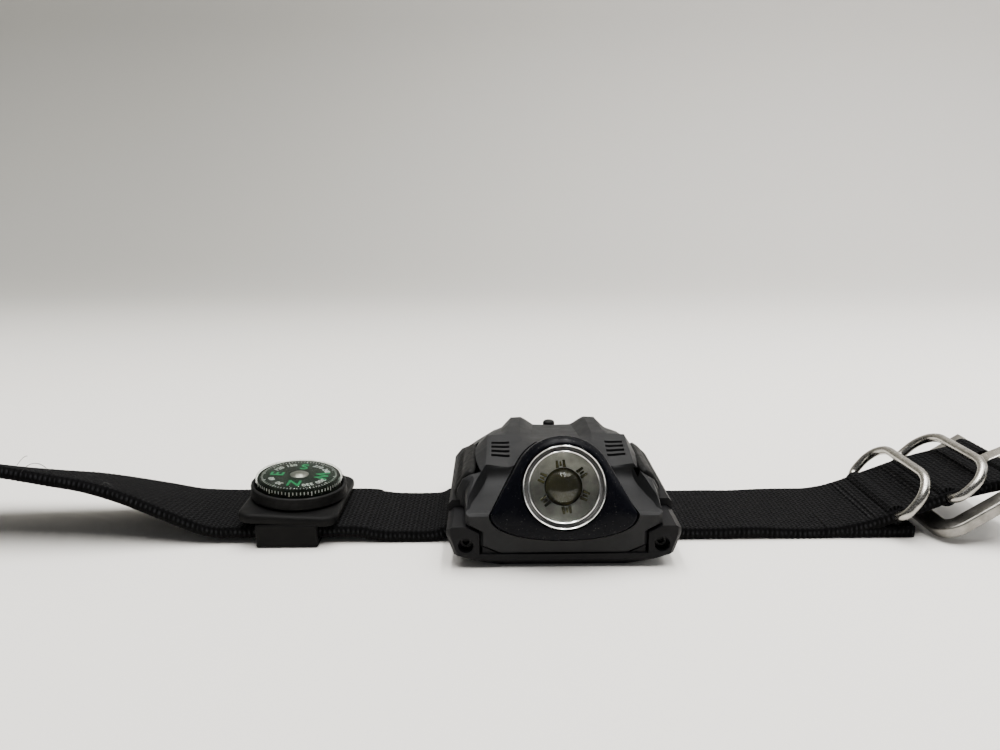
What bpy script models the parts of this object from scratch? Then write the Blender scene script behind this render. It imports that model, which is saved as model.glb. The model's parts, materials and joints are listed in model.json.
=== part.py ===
"""A wrist lamp on a two-piece webbing strap, with a clip-on button compass.

Frame: X runs along the strap (buckle side positive), Y runs across it (the lamp shines towards -Y),
Z is up. The origin is the middle of the flat face that rests on the wrist. Units are metres.
"""

import math

import bmesh
import bpy
from mathutils import Matrix, Vector

MM = 0.001

# Fits
GAP = 0.3 * MM

# Strap
STRAP_WIDTH = 22.0 * MM
STRAP_THICK = 2.6 * MM
STRAP_HALF = STRAP_WIDTH / 2
PIN_X = 19.4 * MM
PIN_Z = 5.0 * MM
PIN_RADIUS = 0.9 * MM
PIN_HEAD_RADIUS = 1.25 * MM
EYE_WALL = 1.2 * MM
EYE_INSET = 0.15 * MM

# Lamp case
CASE_FRONT = -22.8 * MM
CASE_REAR = 22.0 * MM
CASE_HALF = 23.2 * MM
LUG_TOP = 10.6 * MM
LUG_INNER = 16.7 * MM
FLOOR_TOP = 3.1 * MM
NOTCH_HALF = STRAP_HALF + 0.5 * MM
NOTCH_TOP = 8.2 * MM
PLATE_HALF_X = 12.0 * MM
PLATE_HALF_Y = 17.0 * MM
PLATE_THICK = 1.4 * MM
WELL_HALF_X = 9.2 * MM
WELL_HALF_Y = 12.2 * MM
SCREW_X = 10.4 * MM
SCREW_Y = 14.6 * MM
SKIRT_HALF = 16.3 * MM
SKIRT_BOTTOM = 4.2 * MM
SHELL_WALL = 1.6 * MM
WING_BOTTOM = LUG_TOP + GAP

# Lens group: its axis leans back by LENS_TILT from the horizontal
LENS_CENTRE = Vector((0.0, -22.1 * MM, 16.9 * MM))
LENS_TILT = math.radians(20)
BORE_RADIUS = 8.7 * MM
BELL_RADIUS = 10.1 * MM
BELL_CORNER = Vector((14.6 * MM, -5.4 * MM))
BELL_BOTTOM = 10.4 * MM
BELL_FRONT = 2.3 * MM
BELL_RIM = 0.4 * MM
BELL_UPPER_STEPS = 14
BELL_LOWER_STEPS = 9

# Side pads
PAD_CENTRE_Y = -3.0 * MM
PAD_LENGTH = 18.0 * MM
PAD_TRAVEL = 0.8 * MM
MODE_X = -0.5 * MM
MODE_Y = 17.2 * MM
MODE_TRAVEL = 0.5 * MM

# Compass
COMPASS_X = -57.5 * MM
COMPASS_TOP = 7.0 * MM
COMPASS_TILT = math.radians(3.5)
STRAP_LIFT = 1.3 * MM
CLIP_LENGTH = 21.0 * MM
CLIP_HALF = 12.9 * MM
CLIP_WALL = 1.3 * MM

# Buckle hardware: the bar of each ring lies in a sleeve of the strap
WIRE_RADIUS = 1.0 * MM
RING_1 = Vector((72.0 * MM, 0.0, 5.0 * MM))
RING_2 = Vector((82.5 * MM, 0.0, 9.0 * MM))
RING_HEIGHT = 10.2 * MM
RING_LEAN_1 = math.radians(36)
RING_LEAN_2 = math.radians(45)
RING_WIDTH = 25.4 * MM
RING_TOP_CORNER = 4.2 * MM
RING_LOW_CORNER = 2.2 * MM
BUCKLE_BAR = Vector((97.0 * MM, 0.0, 12.5 * MM))
FRAME_SLOPE = math.radians(33)
FRAME_LENGTH = 20.5 * MM
FRAME_WIDTH = 30.2 * MM
FRAME_BAND = 3.6 * MM
FRAME_THICK = 2.6 * MM
BAR_END_RADIUS = 0.6 * MM
TONGUE_LENGTH = 18.0 * MM
TONGUE_RISE = math.radians(24)
TONGUE_WIDTH = 3.4 * MM


def clear_scene():
    for obj in list(bpy.data.objects):
        bpy.data.objects.remove(obj, do_unlink=True)


def material(name, colour, roughness, metallic=0.0):
    made = bpy.data.materials.new(name)
    made.use_nodes = True
    shader = made.node_tree.nodes["Principled BSDF"]
    shader.inputs["Base Color"].default_value = (*colour, 1.0)
    shader.inputs["Roughness"].default_value = roughness
    shader.inputs["Metallic"].default_value = metallic
    return made


def add_object(name, vertices, faces, finish, origin=Vector((0.0, 0.0, 0.0))):
    """A closed mesh given in world coordinates, with its object's origin at origin."""
    mesh = bpy.data.meshes.new(name)
    mesh.from_pydata([tuple(Vector(v) - origin) for v in vertices], [], faces)
    if signed_volume(mesh) < 0:
        mesh.flip_normals()
    triangulate(mesh)
    mesh.shade_smooth()
    mesh.set_sharp_from_angle(angle=math.radians(35))
    if finish:
        mesh.materials.append(finish)
    made = bpy.data.objects.new(name, mesh)
    made.location = origin
    bpy.context.scene.collection.objects.link(made)
    return made


def triangulate(mesh):
    """Splits every face, so that a Boolean meets only flat faces."""
    working = bmesh.new()
    working.from_mesh(mesh)
    bmesh.ops.triangulate(working, faces=working.faces)
    working.to_mesh(mesh)
    working.free()


def signed_volume(mesh):
    total = 0.0
    for face in mesh.polygons:
        first, *rest = (mesh.vertices[i].co for i in face.vertices)
        for a, b in zip(rest, rest[1:]):
            total += first.dot(a.cross(b))
    return total


def loft(name, rings, finish, closed=False, origin=Vector((0.0, 0.0, 0.0))):
    """Joins rings of equally many points. Closed joins the last ring to the first; open ends are capped."""
    count = len(rings[0])
    vertices = [point for ring in rings for point in ring]
    faces = []
    spans = len(rings) if closed else len(rings) - 1
    for i in range(spans):
        low = i * count
        high = ((i + 1) % len(rings)) * count
        for j in range(count):
            k = (j + 1) % count
            faces.append((low + j, low + k, high + k, high + j))
    if not closed:
        last = (len(rings) - 1) * count
        faces.append(tuple(reversed(range(count))))
        faces.append(tuple(range(last, last + count)))
    return add_object(name, vertices, faces, finish, origin)


def turned(name, profile, frame, finish, segments=32, origin=Vector((0.0, 0.0, 0.0))):
    """Turns a closed outline of (radius, height) points about the frame's Z axis."""
    vertices = []
    rings = []
    for radius, height in profile:
        if radius == 0:
            vertices.append(frame @ Vector((0.0, 0.0, height)))
            rings.append([len(vertices) - 1] * segments)
            continue
        start = len(vertices)
        for i in range(segments):
            angle = 2 * math.pi * i / segments
            point = Vector((radius * math.cos(angle), radius * math.sin(angle), height))
            vertices.append(frame @ point)
        rings.append(list(range(start, start + segments)))
    faces = []
    for low, high in zip(rings, rings[1:] + rings[:1]):
        for i in range(segments):
            k = (i + 1) % segments
            corners = list(dict.fromkeys((low[i], low[k], high[k], high[i])))
            if len(corners) > 2:
                faces.append(tuple(corners))
    return add_object(name, vertices, faces, finish, origin)


def box(name, low, high, finish):
    """An upright box between two corners, given in metres."""
    bottom = [(low[0], low[1]), (high[0], low[1]), (high[0], high[1]), (low[0], high[1])]
    rings = [[Vector((x, y, z)) for x, y in bottom] for z in (low[2], high[2])]
    return loft(name, rings, finish)


def rod(name, start, end, radius, finish, segments=16):
    axis = end - start
    turn = axis.to_track_quat("Z", "Y").to_matrix().to_4x4()
    frame = Matrix.Translation(start) @ turn
    length = axis.length
    return turned(name, [(0, 0), (radius, 0), (radius, length), (0, length)], frame, finish, segments)


def combine(target, tool, operation):
    """Leaves a live Boolean on target; the tool stays in the scene as a wire guide."""
    step = target.modifiers.new(tool.name, "BOOLEAN")
    step.operation = operation
    step.solver = "EXACT"
    step.object = tool
    tool.hide_render = True
    tool.display_type = "WIRE"


def cut(target, tool):
    combine(target, tool, "DIFFERENCE")


def fuse(target, tool):
    combine(target, tool, "UNION")


def mirrored(half):
    """Completes a half outline with its mirror image; points on the mirror line aren't doubled."""
    other = [(-x, z) for x, z in reversed(half) if abs(x) > 1e-9]
    return half + other


def rounded_rectangle(half_x, half_y, radius, steps=4, low_radius=None):
    """Points round a rectangle; its two lower corners may have their own radius."""
    points = []
    radii = (radius, radius, low_radius or radius, low_radius or radius)
    signs = ((1, 1), (-1, 1), (-1, -1), (1, -1))
    for corner, ((sx, sy), radius) in enumerate(zip(signs, radii)):
        centre = (sx * (half_x - radius), sy * (half_y - radius))
        for step in range(steps + 1):
            angle = math.pi / 2 * (corner + step / steps)
            points.append((centre[0] + radius * math.cos(angle), centre[1] + radius * math.sin(angle)))
    return points


# ---------------------------------------------------------------- lamp case


def case_outline(inset):
    """The base case's outline in XZ, with its sides drawn in by inset."""
    half = [
        (0.0, 0.0),
        (12.5 * MM - inset, 0.0),
        (21.8 * MM - inset, 2.9 * MM),
        (CASE_HALF - inset, 7.0 * MM),
        (CASE_HALF - inset, 9.8 * MM),
        (22.5 * MM - inset, LUG_TOP),
        (LUG_INNER, LUG_TOP),
        (LUG_INNER, FLOOR_TOP),
        (0.0, FLOOR_TOP),
    ]
    return mirrored(half)


def make_base_case(finish):
    stations = [
        (CASE_FRONT, 0.8 * MM),
        (CASE_FRONT + 0.8 * MM, 0.0),
        (16.0 * MM, 0.0),
        (19.5 * MM, 0.8 * MM),
        (21.2 * MM, 2.2 * MM),
        (CASE_REAR, 3.6 * MM),
    ]
    rings = [[Vector((x, y, z)) for x, z in case_outline(inset)] for y, inset in stations]
    case = loft("base_case", rings, finish)
    for side, x in (("left", -1), ("right", 1)):
        near = x * LUG_INNER
        far = x * 30 * MM
        low = (min(near, far), -NOTCH_HALF, -5 * MM)
        high = (max(near, far), NOTCH_HALF, NOTCH_TOP)
        cut(case, box(f"notch_{side}", low, high, None))
        cut(case, stepped_hole(f"pin_hole_{side}", x * PIN_X))
    recess = PLATE_THICK + GAP
    low = (-PLATE_HALF_X - GAP, -PLATE_HALF_Y - GAP, -MM)
    cut(case, box("plate_recess", low, (-low[0], -low[1], recess), None))
    low = (-WELL_HALF_X, -WELL_HALF_Y, 0.0)
    cut(case, box("battery_well", low, (WELL_HALF_X, WELL_HALF_Y, 6 * MM), None))
    for number, (x, y) in enumerate(screw_places(), 1):
        start = Vector((x, y, -MM))
        end = Vector((x, y, 6 * MM))
        cut(case, rod(f"screw_hole_{number}", start, end, 0.8 * MM + GAP, None, 12))
    return case


def stepped_hole(name, x):
    """The hole for a strap pin: wide at the front for its head."""
    wide = PIN_HEAD_RADIUS + GAP
    narrow = PIN_RADIUS + GAP
    front = -3.0 * MM
    step = 1.7 * MM
    back = 50 * MM
    profile = [(0, front), (wide, front), (wide, step), (narrow, step), (narrow, back), (0, back)]
    frame = Matrix.Translation((x, CASE_FRONT, PIN_Z)) @ Matrix.Rotation(-math.pi / 2, 4, "X")
    return turned(name, profile, frame, None, 18)


def screw_places():
    return [(x * SCREW_X, y * SCREW_Y) for x in (-1, 1) for y in (-1, 1)]


def make_back_plate(finish):
    outline = rounded_rectangle(PLATE_HALF_X, PLATE_HALF_Y, 2.0 * MM)
    inner = rounded_rectangle(PLATE_HALF_X - 0.3 * MM, PLATE_HALF_Y - 0.3 * MM, 2.0 * MM)
    rings = [
        [Vector((x, y, 0.0)) for x, y in inner],
        [Vector((x, y, 0.3 * MM)) for x, y in outline],
        [Vector((x, y, PLATE_THICK)) for x, y in outline],
    ]
    plate = loft("back_plate", rings, finish)
    for number, (x, y) in enumerate(screw_places(), 1):
        start = Vector((x, y, -MM))
        shank_end = Vector((x, y, 3 * MM))
        head_end = Vector((x, y, 0.9 * MM))
        cut(plate, rod(f"plate_hole_{number}", start, shank_end, 1.1 * MM, None, 16))
        cut(plate, rod(f"plate_sink_{number}", start, head_end, 1.8 * MM, None, 20))
    return plate


def make_back_screws(finish):
    head = [(0, 0.1), (1.1, 0.1), (1.4, 0.3), (1.4, 0.6), (0.8, 0.6), (0.8, 2.9), (0, 2.9)]
    for number, (x, y) in enumerate(screw_places(), 1):
        profile = [(r * MM, z * MM) for r, z in head]
        turned(f"back_screw_{number}", profile, Matrix.Translation((x, y, 0.0)), finish, 16)


def make_case_seal(finish):
    """The rubber seal that the upper shell presses on the base case."""
    middle = Vector((0.0, -0.7 * MM, 0.0))
    outer = rounded_rectangle(SKIRT_HALF - 0.1 * MM, 20.7 * MM, 2.5 * MM)
    inner = rounded_rectangle(SKIRT_HALF - 1.1 * MM, 19.7 * MM, 1.5 * MM)
    low = FLOOR_TOP + GAP
    high = SKIRT_BOTTOM - GAP
    corners = ((outer, low), (outer, high), (inner, high), (inner, low))
    rings = [[Vector((x, y, z)) + middle for x, y in outline] for outline, z in corners]
    loft("case_seal", rings, finish, closed=True)


def shell_section(y, wing, side, edge, shoulder, outer, peak, dish, centre, skirt=SKIRT_HALF / MM):
    """One cross-section of the upper shell at y, in millimetres, from the skirt up to the middle."""
    half = [
        (0.0, SKIRT_BOTTOM / MM),
        (skirt, SKIRT_BOTTOM / MM),
        (skirt, WING_BOTTOM / MM),
        (wing, WING_BOTTOM / MM),
        side,
        edge,
        shoulder,
        outer,
        peak,
        dish,
        (0.0, centre),
    ]
    return [Vector((x, y, z)) * MM for x, z in mirrored(half)]


def make_upper_shell(finish):
    sections = [
        shell_section(-21.8, 17.6, (17.5, 11.1), (17.2, 11.3), (14, 11.4), (11, 11.5), (7, 11.6),
                      (4, 11.6), 11.6,
                      skirt=15.9),
        shell_section(-21.2, 19.2, (19.0, 11.6), (18.6, 12.0), (15, 12.2), (11, 12.4), (7, 12.5),
                      (4, 12.6), 12.6),
        shell_section(-17.9, 21.2, (20.8, 12.2), (18.8, 13.6), (15, 14.4), (11, 14.8), (7, 15),
                      (4, 15), 15),
        shell_section(-12.0, 21.9, (21.4, 12.8), (18.9, 15.8), (15.3, 17.0), (11, 17.4), (7, 18),
                      (4, 18), 18),
        shell_section(-10.2, 22.0, (21.5, 12.9), (19.0, 16.3), (15.3, 18.2), (11, 18.4), (7, 19),
                      (4, 19), 19),
        shell_section(-3.7, 22.0, (21.5, 12.9), (19.0, 16.6), (15.2, 19.8), (11, 19.9), (7, 20),
                      (4, 20), 20),
        shell_section(1.3, 22.0, (21.5, 12.9), (19.0, 16.4), (15.1, 19.9), (11, 19.8),
                      (7.4, 19.9), (5.4, 19.3), 19.2),
        shell_section(8.0, 21.8, (21.2, 12.8), (18.7, 15.9), (14.6, 18.7), (11, 19.4),
                      (7.5, 20.6), (4.9, 18.8), 18.6),
        shell_section(13.5, 21.2, (20.4, 12.5), (17.9, 15.1), (13.6, 17.3), (10.4, 18.6),
                      (7.3, 20.5), (4.6, 18.4), 18.2),
        shell_section(18.0, 19.8, (19.0, 12.2), (16.6, 13.7), (12.4, 15.3), (9.4, 16.3),
                      (6.6, 17.7), (4.2, 17.2), 17),
        shell_section(20.6, 17.8, (17.3, 11.6), (15.2, 12.5), (11.4, 13.6), (8.8, 14.2),
                      (6.2, 14.8), (4, 14.8), 14.8,
                      skirt=15.8),
        shell_section(21.4, 15.9, (15.6, 11.2), (14.0, 11.6), (10.8, 12.2), (8.4, 12.6),
                      (6, 12.8), (4, 12.8), 12.8,
                      skirt=14.6),
    ]
    shell = loft("upper_shell", sections, finish)
    cut(shell, shell_cavity())
    cut(shell, nose_tunnel())
    for side in (-1, 1):
        cut(shell, pad_pocket(side))
    cut(shell, pad_box("stem_slot", (12.0, 20.0), 3.3, (11.6, 15.2)))
    cut(shell, pad_box("port_slot", (-20.0, -12.0), 5.2, (11.3, 15.4)))
    mode_place = Vector((MODE_X, MODE_Y, 12 * MM))
    upwards = Vector((0.0, 0.0, 12 * MM))
    cut(shell, rod("mode_hole", mode_place, mode_place + upwards, 1.7 * MM, None, 16))
    for side, number, centre in louvre_places():
        half = Vector((1.95, 0.3, 3.0)) * MM
        cut(shell, box(f"louvre_{side}_{number}", centre - half, centre + half, None))
    return shell


def louvre_places():
    """Four cooling slots on each side of the nose, on the rising deck."""
    for side, sign in (("left", -1), ("right", 1)):
        for number in range(4):
            y = (-8.9 + 1.73 * number) * MM
            z = (18.7 + 0.4 * number) * MM
            yield side, number, Vector((sign * 12.25 * MM, y, z))


def cavity_section(y, width, shoulder, top):
    half = [
        (0.0, 1.0),
        (width, 1.0),
        (width, 13.2),
        (shoulder, top - 1.6),
        (4.0, top),
        (0.0, top),
    ]
    return [Vector((x, y, z)) * MM for x, z in mirrored(half)]


def shell_cavity():
    sections = [
        cavity_section(-20.2, 12.8, 10.0, 11.6),
        cavity_section(-16.0, 14.5, 12.6, 14.2),
        cavity_section(-9.0, 14.7, 12.9, 17.0),
        cavity_section(3.5, 14.75, 12.8, 17.6),
        cavity_section(14.0, 14.6, 11.2, 16.4),
        cavity_section(17.6, 14.0, 10.0, 14.6),
        cavity_section(19.6, 12.6, 8.6, 13.2),
    ]
    return loft("shell_cavity", sections, None)


# ---------------------------------------------------------------- nose and lens


def lens_frame():
    """Z runs along the lens axis into the lamp, X to the side; Y is up in the lens plane."""
    inward = Vector((0.0, math.cos(LENS_TILT), -math.sin(LENS_TILT)))
    upward = Vector((0.0, math.sin(LENS_TILT), math.cos(LENS_TILT)))
    sideways = upward.cross(inward)
    turn = Matrix((sideways, upward, inward)).transposed().to_4x4()
    return Matrix.Translation(LENS_CENTRE) @ turn


def bell_outline(grow=0.0):
    """The nose outline in the lens plane: an arch over the lens, flared corners and a shallow round chin."""
    radius = BELL_RADIUS + grow
    corner = BELL_CORNER + Vector((grow, 0.0))
    corner_angle = math.atan2(corner.y, corner.x)
    touch = corner_angle + math.acos(radius / corner.length)
    chin = BELL_BOTTOM + grow
    half = []
    for step in range(BELL_UPPER_STEPS):
        angle = math.pi / 2 + (corner_angle - math.pi / 2) * step / BELL_UPPER_STEPS
        reach = radius if angle > touch else radius / math.cos(touch - angle)
        half.append((reach * math.cos(angle), reach * math.sin(angle)))
    for step in range(BELL_LOWER_STEPS + 1):
        share = step / BELL_LOWER_STEPS
        x = corner.x * math.cos(share * math.pi / 2) ** 0.9
        drop = 1 - (1 - share) ** 1.9
        half.append((x, corner.y - (chin + corner.y) * drop))
    half[-1] = (0.0, -chin)
    return mirrored(half)


def bell_depth(v):
    """How deep the nose runs into the lamp at height v above the lens axis."""
    share = min(max((v + 2 * MM) / (12 * MM), 0.0), 1.0)
    return (9.0 + 7.5 * share) * MM


def make_nose_cowl(finish):
    frame = lens_frame()
    outline = bell_outline()
    bore = [Vector(p).normalized() * BORE_RADIUS for p in outline]
    rim = [Vector(p).normalized() * (BORE_RADIUS + 0.5 * MM) for p in outline]
    rings = [
        [frame @ Vector((x, v, BELL_RIM)) for x, v in rim],
        [frame @ Vector((x, v, BELL_FRONT)) for x, v in outline],
        [frame @ Vector((x, v, bell_depth(v))) for x, v in outline],
        [frame @ Vector((x, v, bell_depth(v))) for x, v in bore],
        [frame @ Vector((x, v, BELL_RIM)) for x, v in bore],
    ]
    return loft("nose_cowl", rings, finish, closed=True)


def nose_tunnel():
    frame = lens_frame()
    outline = bell_outline(GAP)
    rings = [[frame @ Vector((x, v, depth)) for x, v in outline] for depth in (-8 * MM, 18.2 * MM)]
    return loft("nose_tunnel", rings, None)


def turned_in_nose(name, profile, finish, segments=40):
    return turned(name, [(r * MM, d * MM) for r, d in profile], lens_frame(), finish, segments)


def make_lens_group(finishes):
    ring = [(8.1, -0.1), (8.4, 0.2), (8.4, 1.3), (7.0, 1.3), (7.0, 0.6), (7.3, 0.3), (7.7, 0.1)]
    turned_in_nose("lens_ring", ring, finishes["steel"], 48)
    gasket = [(7.1, 1.6), (8.4, 1.6), (8.4, 2.2), (7.1, 2.2)]
    turned_in_nose("lens_gasket", gasket, finishes["rubber"], 40)
    dome = [(0, 0.55), (1.5, 0.65), (2.8, 0.95), (3.7, 1.4), (4.0, 1.9), (4.6, 1.7), (6.5, 1.1), (6.7, 2.5)]
    flange = [(8.3, 2.5), (8.3, 3.2), (7.2, 3.2), (5.4, 6.2), (3.2, 9.0), (2.2, 9.0), (1.9, 7.9), (0, 7.6)]
    turned_in_nose("lens", dome + flange, finishes["lens"], 40)
    holder = [(7.6, 3.5), (8.4, 3.5), (8.4, 10.4), (2.4, 10.4), (2.4, 9.5), (7.6, 9.5)]
    turned_in_nose("lens_holder", holder, finishes["black"], 40)
    emitter = [(0, 8.4), (0.8, 8.6), (1.2, 9.3), (2.0, 9.4), (2.0, 10.4), (0, 10.4)]
    turned_in_nose("led_emitter", emitter, finishes["yellow"], 16)
    board = [(0, 10.7), (7.9, 10.7), (7.9, 11.9), (0, 11.9)]
    turned_in_nose("led_board", board, finishes["board"], 32)
    sink = [(0, 12.2), (7.6, 12.2), (7.6, 14.0), (4.0, 14.0), (4.0, 15.2), (0, 15.2)]
    turned_in_nose("heat_sink", sink, finishes["aluminium"], 32)


# ---------------------------------------------------------------- controls


def pad_profile(grow=0.0, deep=0.0):
    """The pad's XZ outline on the right side; grow widens it all round and deep thickens it inwards."""
    inner = 1.6 * MM + grow + deep
    top = Vector((18.7 * MM, 16.9 * MM + grow))
    low = Vector((21.9 * MM, 11.1 * MM - grow))
    face = [
        top + Vector((0.3 * MM, -0.1 * MM)),
        Vector((20.3 * MM + grow, 16.0 * MM)),
        Vector((21.8 * MM + grow, 14.1 * MM)),
        Vector((22.6 * MM + grow, 12.2 * MM)),
        low + Vector((0.6 * MM + grow, 0.0)),
    ]
    back = [low - Vector((inner, 0.0)), Vector((top.x - inner + 0.5 * MM, top.y - 0.6 * MM)), top]
    return face + back


def pad_rings(side, profile, middle, grow=0.0):
    """Sections of a pad along Y; the ends draw in towards its middle point."""
    stations = ((-1.0, 0.55), (-0.93, 0.86), (-0.75, 1.0), (0.75, 1.0), (0.93, 0.86), (1.0, 0.55))
    rings = []
    for along, size in stations:
        y = PAD_CENTRE_Y + along * (PAD_LENGTH / 2 + grow)
        ring = []
        for point in profile:
            drawn = middle + (point - middle) * size
            ring.append(Vector((side * drawn.x, y, drawn.y)))
        rings.append(ring)
    return rings


def pad_middle():
    return Vector((19.6 * MM, 13.6 * MM))


def pad_pocket(side):
    name = "pocket_left" if side < 0 else "pocket_right"
    profile = pad_profile(GAP, PAD_TRAVEL)
    profile[:5] = [p + Vector((3 * MM, 0.0)) for p in profile[:5]]
    rings = []
    for along in (-1.0, 1.0):
        y = PAD_CENTRE_Y + along * (PAD_LENGTH / 2 + GAP)
        rings.append([Vector((side * p.x, y, p.y)) for p in profile])
    return loft(name, rings, None)


def pad_box(name, across, half_length, upright, finish=None):
    """A box level with the pads, from the X and Z limits and the half length along Y, in millimetres."""
    low = Vector((across[0] * MM, PAD_CENTRE_Y - half_length * MM, upright[0] * MM))
    high = Vector((across[1] * MM, PAD_CENTRE_Y + half_length * MM, upright[1] * MM))
    return box(name, low, high, finish)


def make_power_button(finish):
    middle = pad_middle()
    origin = Vector((middle.x, PAD_CENTRE_Y, middle.y))
    button = loft("power_button", pad_rings(1, pad_profile(), pad_middle()), finish, origin=origin)
    fuse(button, pad_box("power_stem", (14.2, 19.2), 2.5, (12.2, 14.6)))


def make_usb_cover(finish):
    origin = Vector((-22.2 * MM, PAD_CENTRE_Y, 11.3 * MM))
    cover = loft("usb_cover", pad_rings(-1, pad_profile(), pad_middle()), finish, origin=origin)
    fuse(cover, pad_box("cover_plug", (-19.6, -17.6), 4.0, (12.2, 13.8)))


def make_mode_button(finish):
    origin = Vector((MODE_X, MODE_Y, 16 * MM))
    profile = [(0, 13.9), (1.4, 13.9), (1.4, 18.4), (1.0, 18.9), (0, 19.0)]
    frame = Matrix.Translation((MODE_X, MODE_Y, 0.0))
    turned("mode_button", [(r * MM, z * MM) for r, z in profile], frame, finish, 20, origin=origin)


def make_electronics(finishes):
    box("battery", (-8.8 * MM, -8.4 * MM, 1.8 * MM), (8.8 * MM, 11.8 * MM, 7.4 * MM), finishes["foil"])
    box("control_board", (-13.6 * MM, -5.5 * MM, 9.6 * MM), (13.6 * MM, 17.2 * MM, 10.8 * MM), finishes["board"])
    socket = pad_box("usb_socket", (-14.2, -7.4), 4.5, (11.1, 14.3), finishes["steel"])
    cut(socket, pad_box("socket_mouth", (-16.0, -9.0), 3.9, (11.7, 13.7)))
    pad_box("side_switch", (9.8, 13.2), 2.2, (11.1, 15.0), finishes["black"])
    low = (MODE_X - 2.2 * MM, MODE_Y - 1.9 * MM, 11.1 * MM)
    high = (MODE_X + 2.2 * MM, MODE_Y + 1.4 * MM, 13.2 * MM)
    box("mode_switch", low, high, finishes["black"])


# ---------------------------------------------------------------- straps


def strap_section(centre, slope, roll, half_thick=STRAP_THICK / 2):
    """One cross-section of the webbing, with slightly rounded edges."""
    across = Vector((0.0, math.cos(roll), -math.sin(roll)))
    along = Vector((math.cos(slope), 0.0, math.sin(slope)))
    normal = along.cross(across).normalized()
    edge = 0.35 * MM
    corners = [
        (-STRAP_HALF, -half_thick + edge),
        (-STRAP_HALF + edge, -half_thick),
        (STRAP_HALF - edge, -half_thick),
        (STRAP_HALF, -half_thick + edge),
        (STRAP_HALF, half_thick - edge),
        (STRAP_HALF - edge, half_thick),
        (-STRAP_HALF + edge, half_thick),
        (-STRAP_HALF, half_thick - edge),
    ]
    return [centre + across * u + normal * w for u, w in corners]


def strap_rings(stations):
    """Stations are (x, z, roll in degrees) of the strap's middle; its slope follows them."""
    rings = []
    for i, (x, z, roll) in enumerate(stations):
        before = stations[max(i - 1, 0)]
        after = stations[min(i + 1, len(stations) - 1)]
        slope = math.atan2(after[1] - before[1], after[0] - before[0])
        rings.append(strap_section(Vector((x, 0.0, z)) * MM, slope, math.radians(roll)))
    return rings


def eye(name, place):
    """The round end of a strap where it wraps a rod."""
    radius = PIN_RADIUS + GAP + EYE_WALL
    reach = Vector((0.0, STRAP_HALF - EYE_INSET, 0.0))
    return rod(name, place - reach, place + reach, radius, None, 24)


def eye_hole(name, place, radius):
    reach = Vector((0.0, STRAP_HALF + 2 * MM, 0.0))
    return rod(name, place - reach, place + reach, radius + GAP, None, 16)


def make_tail_strap(finish):
    lifted = STRAP_THICK / 2 / MM + STRAP_LIFT / MM
    stations = [
        (-133.0, 14.5, 24.5),
        (-124.0, 13.2, 24),
        (-115.5, 12.1, 22.4),
        (-107.5, 11.0, 19.9),
        (-100.0, 9.7, 18.8),
        (-92.0, 7.6, 15.4),
        (-84.0, 5.0, 10.0),
        (-79.5, 3.8, 5.5),
        (-76.0, 3.0, 2.0),
        (-72.5, lifted, 0),
        (-44.5, lifted, 0),
        (-40.0, 1.8, 0),
        (-36.0, 1.3, 0),
        (-27.0, 1.3, 0),
        (-24.0, 2.4, 0),
        (-21.0, 4.2, 0),
    ]
    place = Vector((-PIN_X, 0.0, PIN_Z))
    strap = loft("tail_strap", strap_rings(stations), finish, origin=place)
    fuse(strap, eye("tail_eye", place))
    cut(strap, eye_hole("tail_eye_hole", place, PIN_RADIUS))


def make_buckle_strap(finish):
    stations = [
        (21.0, 4.2, 0),
        (24.0, 2.4, 0),
        (27.0, 1.3, 0),
        (57.0, 1.3, 0),
        (63.0, 2.1, 0),
        (68.0, 3.4, 0),
        (72.0, 5.0, 0),
        (77.0, 6.9, 0),
        (82.5, 9.0, 0),
        (88.0, 10.6, 0),
        (95.2, 12.3, 0),
    ]
    place = Vector((PIN_X, 0.0, PIN_Z))
    strap = loft("buckle_strap", strap_rings(stations), finish, origin=place)
    fuse(strap, eye("pin_eye", place))
    cut(strap, eye_hole("pin_eye_hole", place, PIN_RADIUS))
    for name, spot in (("ring_1", RING_1), ("ring_2", RING_2), ("bar", BUCKLE_BAR)):
        fuse(strap, eye(f"{name}_sleeve", spot))
        cut(strap, eye_hole(f"{name}_hole", spot, WIRE_RADIUS))
    half = TONGUE_WIDTH / 2 + 2 * GAP
    low = (BUCKLE_BAR.x - 3.2 * MM, -half, BUCKLE_BAR.z - 5 * MM)
    high = (BUCKLE_BAR.x + 5 * MM, half, BUCKLE_BAR.z + 5 * MM)
    cut(strap, box("tongue_slot", low, high, None))


def make_strap_pins(finish):
    for side, sign in (("left", -1), ("right", 1)):
        length = 43.0
        profile = [(0, 0), (1.0, 0), (1.25, 0.25), (1.25, 1.0), (0.9, 1.0), (0.9, length), (0, length)]
        frame = Matrix.Translation((sign * PIN_X, CASE_FRONT + 0.4 * MM, PIN_Z))
        frame = frame @ Matrix.Rotation(-math.pi / 2, 4, "X")
        turned(f"strap_pin_{side}", [(r * MM, z * MM) for r, z in profile], frame, finish, 16)


# ---------------------------------------------------------------- rings and buckle


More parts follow.
